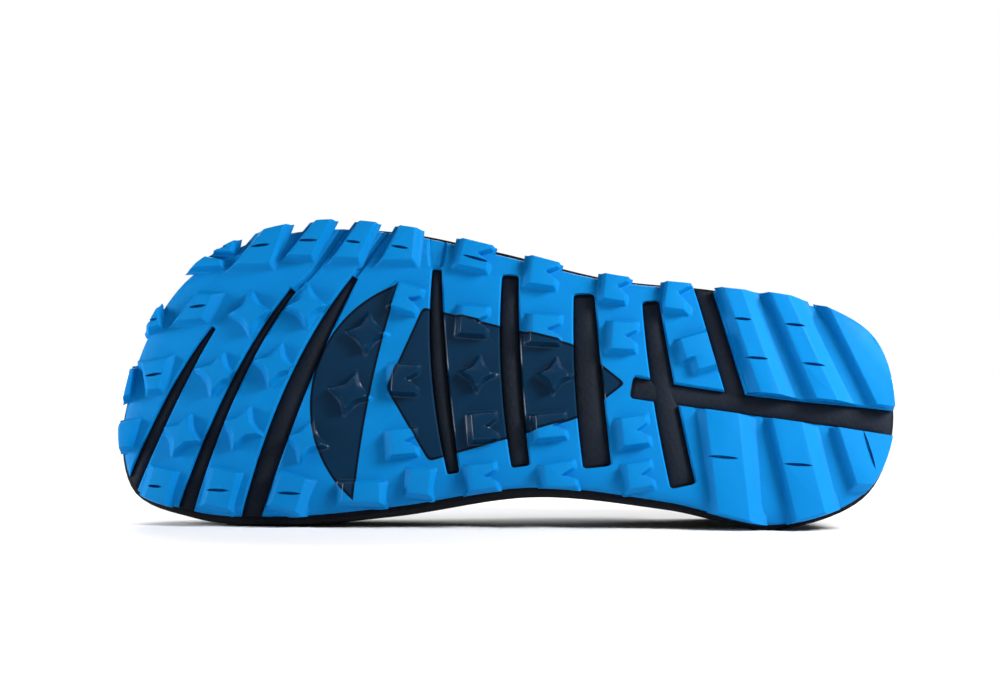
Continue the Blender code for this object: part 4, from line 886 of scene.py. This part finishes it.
def build_outsole():
    """The rubber and its heel pad: a plate cut by the slots, with the lugs set on it."""
    rims = [
        ring(out, lambda p, up=up: rubber_under(p) + up)
        for out, up in ((-2.4, 0), (-1.2, 0.04), (-0.45, 0.26), (-0.1, 0.62), (0, 1.1), (0, RUBBER))
    ]
    slots = {slot.name: slot_cutter(slot) for slot in SLOTS}
    grooves = [slot_cutter(slot, GROOVE_DEPTH) for slot in GROOVES]
    sipes = [sipe_cutter(k, ends) for k, ends in enumerate(SIPES)]
    skirt = skirt_cutter()
    border_points = rounded([np.array(p, float) for p in PAD_BORDER], 0.5, 2)
    border = raw_object("border", loft([with_height(border_points, -40), with_height(border_points, 70)]))
    borders = {slots[slot.name]: slot_outline(slot, 0.75) for slot in SLOTS}
    borders.update({cutter: np.array(ends) for cutter, ends in zip(sipes, SIPES)})
    outlines = {ridge.name: ridge_outline(ridge) for ridge in RIDGES}
    outlines.update({f"lug {k}": lug_outline(lug) for k, lug in enumerate(LUGS)})
    feet = {
        name: np.array(run_out(tops, [run + FOOT for run in runs]))
        for name, (tops, runs) in outlines.items()
    }

    def lug_steps(solid):
        foot = feet[solid.name]
        met = [cutter for cutter, line in borders.items() if within(foot, line) or within(line, foot)]
        return [("INTERSECT", skirt)] + [("DIFFERENCE", cutter) for cutter in met]

    for pad in (True, False):
        plate = raw_object("plate", dish(rims, rubber_under, lambda p: rubber_under(p) + RUBBER))
        heel = [cutter for name, cutter in slots.items() if name.startswith("heel")]
        steps = [("INTERSECT" if pad else "DIFFERENCE", border)]
        steps += [("DIFFERENCE", cutter) for cutter in (heel if pad else [*slots.values(), *grooves])]
        bm = carved([plate], lambda solid: steps)
        mine = [name for name in outlines if name.startswith("pad") == pad]
        lugs = carved([lug_object(name, outlines[name]) for name in mine], lug_steps)
        joined = bpy.data.meshes.new("lugs")
        lugs.to_mesh(joined)
        lugs.free()
        bm.from_mesh(joined)
        bpy.data.meshes.remove(joined)
        node = "outsole_heel_pad" if pad else "outsole"
        finish_piece(node + "_rubber", bm, [RUBBER_BLUE], [node], 35, "plan")
    for tool in (skirt, border, *slots.values(), *grooves, *sipes):
        bpy.data.objects.remove(tool)


# The midsole's side from its foot to its rim: share of the way up, and share of the step cut into it
FOAM_SIDE = (
    (0.1, 0), (0.2, 0), (0.30, 0), (0.40, 0), (0.44, 0.1), (0.47, 0.5), (0.50, 0.92), (0.53, 1),
    (0.70, 1), (0.735, 0.85), (0.77, 0.45), (0.85, 0.2), (0.93, 0.1),
)
BAR_STEPS = 30


def build_midsole():
    """The foam with its stepped side and lip, and the crowned foam that shows in the slots."""
    floor = RUBBER + GAP
    proud = column(SOLE_RIBS, "foam", STATIONS)
    seat = [SHEET[:, row] + NORMALS[:, row] * GAP for row in (0, FINE, 2 * FINE)]
    seat[0][:, 2] -= GAP
    rim_out = seat[2].copy()
    rim_out[:, :2] += unit(NORMALS[:, 2 * FINE, :2]) * RIM_WALL
    away = edge(STATIONS)[1]
    bulge = SIDE_BULGE * (0.6 - 0.4 * away[:, 1])
    wide = ring(proud + bulge, lambda p: rubber_under(p) + floor + SIDE_BULGE * 1.8)
    rows = [
        ring(np.minimum(proud - RUBBER * 0.45, 0), lambda p: rubber_under(p) + floor),
        ring(proud, lambda p: rubber_under(p) + floor + 0.4),
        wide,
    ]
    for share, step in FOAM_SIDE:
        row = wide * (1 - share) + rim_out * share
        row[:, :2] += away * (bulge * math.sin(math.pi * share) - step * SIDE_STEP)[:, None]
        rows.append(row)
    top_edge = rim_out * 0.85 + seat[2] * 0.15 + np.array([0, 0, 0.25])
    rim_out[:, 2] -= 0.35
    rows += [rim_out, top_edge, seat[2], seat[1], seat[0]]
    midsole = dish(rows, lambda p: rubber_under(p) + floor, lambda p: last_floor(p[..., 0]))
    finish_piece("midsole_foam", midsole, [BLACK_FOAM_AND_HOLE_SHADE], ["midsole"], 50)

    spread = np.array([-1, -0.93, -0.7, -0.35, 0, 0.35, 0.7, 0.93, 1])
    ease = np.array([0, 0.55, 0.9, 1, 1, 1, 0.9, 0.55, 0])
    bars = []
    for slot in SLOTS:
        line, _, away_line, half = bent(slot, BAR_STEPS)
        crown = 0.35 if slot.name.startswith("heel") else 0.8
        rings = []
        for k in range(BAR_STEPS):
            end = min(1, 0.25 + min(k, BAR_STEPS - 1 - k) / 2.5)
            rise = (0.5 + crown * (1 - spread**2)) * ease * end
            points = line[k] + away_line[k] * (spread * (half[k] - 0.25))[:, None]
            top = with_height(points, rubber_under(points) + RUBBER + 0.25 - rise)
            rings.append([*top, *with_height(points, rubber_under(points) + RUBBER + 0.6)[::-1]])
        bars.append(raw_object(slot.name + "_bar", loft(rings)))
    border = ring(-0.2, 0)[:, :2]
    trim = raw_object("trim", loft([with_height(border, -20), with_height(border, 60)]))
    bm = carved(bars, lambda solid: [("INTERSECT", trim)])
    finish_piece("slot_foam", bm, [FOAM_CHARCOAL], (), 50, "plan")
    bpy.data.objects.remove(trim)


# Upper

def throat_place(x, lateral):
    """The distance round the edge whose top line stands at x on one side of the throat."""
    ends = ("heel front lateral", "second toe") if lateral else ("heel front medial", "toe tip")
    where = np.linspace(PLACE[ends[0]], PLACE[ends[1]], 200)
    return float(np.interp(x, column(UPPER_RIBS, "top_along", where), where))


def skin_point(where, depth):
    """A point of the upper's outside this far down from the top line, the way out, and the wall."""
    place = np.array([where])
    share = np.array([1 - depth / upper_path(place, np.array([1.0]))[1][0]])
    point, normal, _ = upper_sheet(place, share)
    return point[0, 0], normal[0, 0], wall_of(place, share)[0, 0]


def inner_point(where, depth):
    """The same on the upper's inside."""
    point, normal, wall = skin_point(where, depth)
    return point - normal * wall, normal


def build_insole():
    """A loose footbed with rounded sides, just inside the upper."""
    away = edge(STATIONS)[1]
    inset = INSIDE[:, 0].copy()
    inset[:, :2] -= away * (GAP + 0.5)

    def under(points):
        return last_floor(points[..., 0]) + GAP

    rings = []
    for share, out in ((0, 0), (0.12, 0.25), (0.5, 0.4), (0.8, -0.1), (0.95, -0.5), (1, -0.95)):
        row = inset.copy()
        row[:, :2] += away * out
        row[:, 2] = under(inset) + INSOLE * share
        rings.append(row)
    sole = dish(rings, under, lambda points: under(points) + INSOLE)
    finish_piece("insole_foam", sole, [FELT], ["insole"], 50, "plan")


def build_upper():
    """One shell: up the outside, over the lip and down the lining, closed under the last."""
    lip = TOP_LINE
    bulge = np.array([0, 0, 0.25])
    over = [
        SHEET[:, -1] * 0.45 + lip * 0.55 + bulge, lip + bulge, INSIDE[:, -1] * 0.5 + lip * 0.5 + bulge,
    ]
    outside = [SHEET[:, k] for k in range(SHEET.shape[1])]
    inside = [INSIDE[:, k] for k in range(INSIDE.shape[1])][::-1]
    rings = [*outside, *over, *inside, outside[0]]
    bm = loft(rings, False, [0] * len(outside) + [1] * (len(inside) + 3))
    bmesh.ops.remove_doubles(bm, verts=bm.verts, dist=0.0005)
    finish_piece("upper_shell", bm, [KNIT, LINING], ["upper"], 60)


def spot_of(grid, where, row):
    """A grid's value at a station and a row that may fall between two."""
    i, j = int(math.floor(where)), min(int(math.floor(row)), grid.shape[1] - 2)
    s, r = where - i, row - j
    a, b = grid[i % COUNT], grid[(i + 1) % COUNT]
    return (a[j] * (1 - r) + a[j + 1] * r) * (1 - s) + (b[j] * (1 - r) + b[j + 1] * r) * s


def station_of(where):
    where = where % ROUND
    return where / TOE * HALF if where <= TOE else HALF + (where - TOE) / (ROUND - TOE) * HALF


def build_panels():
    """Films welded to the upper, thin at their borders, and the stitches beside them."""
    stitches = bmesh.new()
    for panel in PANELS:
        first, last = station_of(PLACE[panel.first]) + 0.15, station_of(PLACE[panel.last]) - 0.15
        if last < first:
            last += COUNT
        stops = [first, first + 0.25, *np.arange(math.ceil(first + 0.4), last - 0.4), last - 0.25, last]
        low, high = panel.low * FINE + (0.48 if panel.low == 2 else 0), panel.high * FINE
        between = np.arange(math.ceil(low + 0.6), high)
        rows = [low, low + 0.12, low + 0.4, *between, high - 0.4, high - 0.12, high]
        rows = sorted(set(round(row, 3) for row in rows))
        columns = []
        for k, stop in enumerate(stops):
            end = 0.3 if k in (0, len(stops) - 1) else 1
            under, over = [], []
            for row in rows:
                point, normal = spot_of(SHEET, stop, row), unit(spot_of(NORMALS, stop, row))
                near = min(row - low, high - row)
                thick = OVERLAY * end * np.interp(near, [0, 0.12, 0.4], [0.2, 0.75, 1])
                under.append(point + normal * GAP)
                over.append(point + normal * (GAP + thick))
            columns.append([*over, *under[::-1]])
        finish_piece(panel.name + "_film", loft(columns), [FILM], [panel.name], 60)
        row = low + 1.3 if panel.name == "eyestay" else high - 0.7
        line = np.array([
            spot_of(SHEET, stop, row) + unit(spot_of(NORMALS, stop, row)) * (GAP + OVERLAY + 0.05)
            for stop in np.arange(first + 1, last - 1, 0.5)
        ])
        far = np.concatenate([[0], np.cumsum(np.linalg.norm(np.diff(line, axis=0), axis=1))])
        for at in np.arange(2, far[-1] - 2, STITCH_PITCH):
            a, b = (
                Vector([float(np.interp(at + d, far, line[:, axis])) for axis in range(3)])
                for d in (-STITCH_HALF_LONG, STITCH_HALF_LONG)
            )
            size = Matrix.Diagonal((STITCH_RADIUS, STITCH_RADIUS, (b - a).length / 2, 1))
            turn = (b - a).to_track_quat("Z", "Y").to_matrix().to_4x4()
            place = Matrix.Translation((a + b) / 2) @ turn @ size
            bmesh.ops.create_uvsphere(stitches, u_segments=8, v_segments=4, radius=1, matrix=place)
    finish_piece("stitching", stitches, [THREAD], (), 60, "plan")


# The tongue under the throat: along, and how far each wing reaches down under the upper. Above the throat:
# how far on, how far up and how wide as a share. Its front: the ribs it lies under, and how far down them.
TONGUE_WINGS = ((203, 15), (192, 15), (180, 15), (167, 14), (154, 13), (141, 10), (129, 5))
TONGUE_TOP = ((5, 0.25, 0.86), (9, 0.5, 0.74), (18, 2.0, 0.80), (27, 4.5, 0.86), (31, 6.5, 0.80))
TONGUE_FRONT = (
    ("fourth toe", 19), ("third toe", 15), ("second toe", 12.5), ("second toe", 11.5), ("toe tip", 12.5),
    ("big toe corner", 15), ("big toe medial", 19),
)
TONGUE_THICK = np.array([0.4, 0.7, 0.9, 1, 1, 1, 0.9, 0.7, 0.4]) * TONGUE


def build_tongue():
    """A pad lofted from its front to its free end, its borders under the throat's edges."""
    clear, brim = GAP + 1.0, TOP_LIP * 0.9
    where = [PLACE[name] for name, _ in TONGUE_FRONT]
    depth = [depth for _, depth in TONGUE_FRONT]
    front = [
        inner_point(np.interp(k, range(7), where), np.interp(k, range(7), depth))
        for k in np.linspace(0, 6, 9)
    ]
    rows = [[(point - normal * clear, normal) for point, normal in front]]
    marks, wings = np.array(TONGUE_WINGS, float).T
    for x in np.linspace(203, 129, 20):
        wing = np.interp(-x, -marks, wings)
        down = (wing, wing * 0.7 + brim * 0.3, wing * 0.35 + brim * 0.65, brim)
        row = []
        for lateral, depths in ((True, down), (False, down[::-1])):
            for depth in depths:
                point, normal = inner_point(throat_place(x, lateral), depth)
                row.append((point - normal * clear, normal))
        row.insert(4, ((row[3][0] + row[4][0]) / 2 + np.array([0, 0, 0.8]), unit(row[3][1] + row[4][1])))
        rows.append(row)
    outer = [np.array([point for point, _ in row]) for row in rows]
    inner = [
        points - np.array([normal for _, normal in row]) * TONGUE_THICK[:, None]
        for points, row in zip(outer, rows)
    ]
    climb = unit(outer[-1][4] - outer[-3][4])
    bases = outer[-1], inner[-1]
    for on, rise, width in TONGUE_TOP:
        for grid, base in zip((outer, inner), bases):
            shift = climb * on + np.array([0, 0, rise])
            grid.append((base - base[4]) * np.array([1, width, 1]) + base[4] + shift)
    columns = [[*a, *b[::-1]] for a, b in zip(outer, inner)]
    middle = np.mean(columns[-1], axis=0)
    columns.append((np.array(columns[-1]) - middle) * 0.7 + middle + climb * 1.2)
    made = finish_piece("tongue_pad", loft(columns), [KNIT], ["tongue"], 70)
    smooth = made.modifiers.new("rounding", "SUBSURF")
    smooth.levels = smooth.render_levels = 2


def swept(points, wide, thick, flat_to, steps=10):
    """Rings of a flat oval cord along a smooth line through the points, its flat side to flat_to."""
    points = np.array(points, float)
    for _ in range(3):
        cut = [points[0]]
        for a, b in zip(points, points[1:]):
            cut += [a * 0.75 + b * 0.25, a * 0.25 + b * 0.75]
        points = np.array([*cut, points[-1]])
    ahead = unit(np.gradient(points, axis=0))
    away = np.array([flat_to(point) for point in points])
    side = unit(np.cross(ahead, away))
    away = unit(np.cross(side, ahead))
    rings = []
    for point, across, out in zip(points, side, away):
        rings.append([
            point + across * math.cos(a) * wide / 2
            + out * math.copysign(abs(math.sin(a)) ** 0.7, math.sin(a)) * thick / 2
            for a in np.arange(steps) / steps * math.tau
        ])
    return rings


def build_laces():
    """Crossings over the tongue: each strand comes up through an eyelet, over the throat's edge and across,
    and goes under the other side's edge to the eyelet above. Rings line the eyelets."""
    laces, rings, depths = bmesh.new(), bmesh.new(), EYESTAY / 2
    lift = GAP + OVERLAY + LACE_THICK / 2 + 0.15
    holes = {}
    for lateral in (True, False):
        for row, x in enumerate(EYELET_ALONG[::-1]):
            where = throat_place(x, lateral)
            point, normal, _ = skin_point(where, depths)
            brim, brim_normal, _ = skin_point(where, 0.8)
            under, under_normal = inner_point(where, 3.5)
            holes[lateral, row] = (
                point - normal * 0.8, point + normal * (lift * 0.75) + unit(brim - point) * 1.4,
                brim + brim_normal * lift, under - under_normal * 0.4, normal,
            )
            turn = Vector(normal).to_track_quat("Z", "Y").to_matrix().to_4x4()
            face = Matrix.Translation(point + normal * (GAP + OVERLAY + 0.08)) @ turn
            bmesh.ops.create_cone(
                rings, cap_ends=True, segments=20, radius1=EYELET_OUTER, radius2=EYELET_INNER, depth=0.5,
                matrix=face,
            )
            # Each eyelet's hole is closed by a flat black disc: painted shade standing in for the dark hole
            made = bmesh.ops.create_circle(
                rings, cap_ends=True, segments=20, radius=EYELET_HOLE,
                matrix=face @ Matrix.Translation((0, 0, 0.28)),
            )["verts"]
            for hole_shade_face in {f for vert in made for f in vert.link_faces}:
                hole_shade_face.material_index = 1
    runs = [[*holes[True, 0][:3], *holes[False, 0][2::-1]]]
    for row in range(len(EYELET_ALONG) - 1):
        for lateral in (True, False):
            low, high = holes[lateral, row], holes[not lateral, row + 1]
            over = 2.3 if lateral == (row % 2 == 0) else 0.7
            middle = (low[2] + high[2]) / 2 + np.array([0, 0, over])
            edge_point = high[2] + np.array([0, 0, -0.3])
            runs.append([low[0], low[1], low[2], middle, edge_point * 0.6 + high[3] * 0.4, high[3]])
    for points in runs:
        joined = bpy.data.meshes.new("lace")
        one = loft(swept(points, LACE_WIDE, LACE_THICK, lambda point: np.array([0, 0, 1.0])))
        one.to_mesh(joined)
        one.free()
        laces.from_mesh(joined)
        bpy.data.meshes.remove(joined)
    finish_piece("lace_crossings", laces, [LACE_BLUE], ["laces"], 60)
    # The eyelet rings' second material is the black of their hole discs, which is painted shade
    finish_piece("eyelet_rings", rings, [NYLON, BLACK_FOAM_AND_HOLE_SHADE], (), 40, "plan")


def build_pull_loop():
    """A tape arch over the collar at the heel: up the outside, over the top and down into the shoe."""
    points, normals, _ = upper_sheet(np.array([0.0]), np.array([0.80, 0.90, 1.0]))
    points, normals = points[0], normals[0]
    out = OVERLAY + GAP * 2 + TAPE / 2 + 0.4
    line = [p + n * (out + more) for p, n, more in zip(points, normals, (0, 0, 1.4))]
    inside, inward = inner_point(0.0, COLLAR_PAD)
    back = inside - inward * (GAP + 1.8 + TAPE / 2)
    middle, half_span = (line[2] + back) / 2, (back - line[2]) / 2
    for angle in (10, 20, 32, 46, 60, 75, 90, 105, 120, 134, 148, 160, 170):
        turn = math.radians(angle)
        climb = np.array([0, 0, LOOP_HEIGHT * math.sin(turn) ** 0.5])
        line.append(middle - half_span * math.cos(turn) + climb)
    line = np.array([*line, back])
    ahead = unit(np.gradient(line, axis=0))
    side = np.array([0, 1.0, 0])
    away = unit(np.cross(side, ahead))
    half, thick = LOOP_WIDTH / 2, TAPE / 2
    shape = (
        (-half + 0.5, -thick), (0, -thick), (half - 0.5, -thick), (half, -thick * 0.4),
        (half, thick * 0.4), (half - 0.5, thick), (0, thick), (-half + 0.5, thick),
        (-half, thick * 0.4), (-half, -thick * 0.4),
    )
    rings = [[p + side * w + a * t for w, t in shape] for p, a in zip(line, away)]
    made = finish_piece("heel_loop_tape", loft(rings), [TAPE_BLUE], ["pull_loop"], 50)
    smooth = made.modifiers.new("rounding", "SUBSURF")
    smooth.levels = smooth.render_levels = 1


# Studio: square lamps that face the shoe, in metres and watts. The heel-side one rakes the sole, brighter
# towards the heel, and the far one lights the floor behind.
Lamp = namedtuple("Lamp", "name place size power")
LAMPS = (
    Lamp("heel side", (0.45, -0.28, 0.36), 0.2, 5.2), Lamp("toe side", (-0.48, -0.10, 0.12), 0.12, 1.4),
    Lamp("front", (-0.15, -0.9, 0.8), 0.4, 0.8), Lamp("back", (0.0, 7.0, 4.5), 5.0, 900),
)
AIM = Vector((0, 0, 0.05))
FLOOR_SIZE, PAPER, ROOM_LIGHT = 6, (0.92, 0.92, 0.92, 1), 0.15


def camera_and_light():
    """The photo's long view square on to the sole, and a white studio. The world is white to the camera and
    a soft fill to the shoe."""
    camera = bpy.data.objects.new("camera", bpy.data.cameras.new("camera"))
    camera.data.lens = 95.5
    camera.data.sensor_width = 36
    camera.location = (-0.0026, -1.04, 0.0667)
    camera.rotation_euler = (math.radians(90), math.radians(-0.35), 0)
    bpy.context.scene.collection.objects.link(camera)
    bpy.context.scene.camera = camera
    for lamp in LAMPS:
        made = bpy.data.objects.new(lamp.name, bpy.data.lights.new(lamp.name, "AREA"))
        made.data.size = lamp.size
        made.data.energy = lamp.power
        made.location = lamp.place
        made.rotation_euler = (AIM - Vector(lamp.place)).to_track_quat("-Z", "Y").to_euler()
        bpy.context.scene.collection.objects.link(made)
    world = bpy.data.worlds.new("studio")
    world.use_nodes = True
    sky = world.node_tree
    seen = add(sky, "LightPath").outputs["Is Camera Ray"]
    strength = add(sky, "MapRange", {0: seen, 3: ROOM_LIGHT, 4: 1.0}).outputs[0]
    fill(sky.nodes["Background"], {"Color": (1, 1, 1, 1), "Strength": strength})
    bpy.context.scene.world = world
    bpy.context.scene.view_settings.view_transform = "Standard"
    bm = bmesh.new()
    bmesh.ops.create_grid(bm, x_segments=1, y_segments=1, size=FLOOR_SIZE)
    mesh = bpy.data.meshes.new("floor")
    bm.to_mesh(mesh)
    bm.free()
    floor = bpy.data.objects.new("floor", mesh)
    bpy.context.scene.collection.objects.link(floor)
    paper, _, shader = start("white_paper")
    fill(shader, {"Base Color": PAPER, "Roughness": 0.9})
    mesh.materials.append(paper)


build_outsole()
build_midsole()
build_insole()
build_upper()
build_panels()
build_tongue()
build_laces()
build_pull_loop()
camera_and_light()
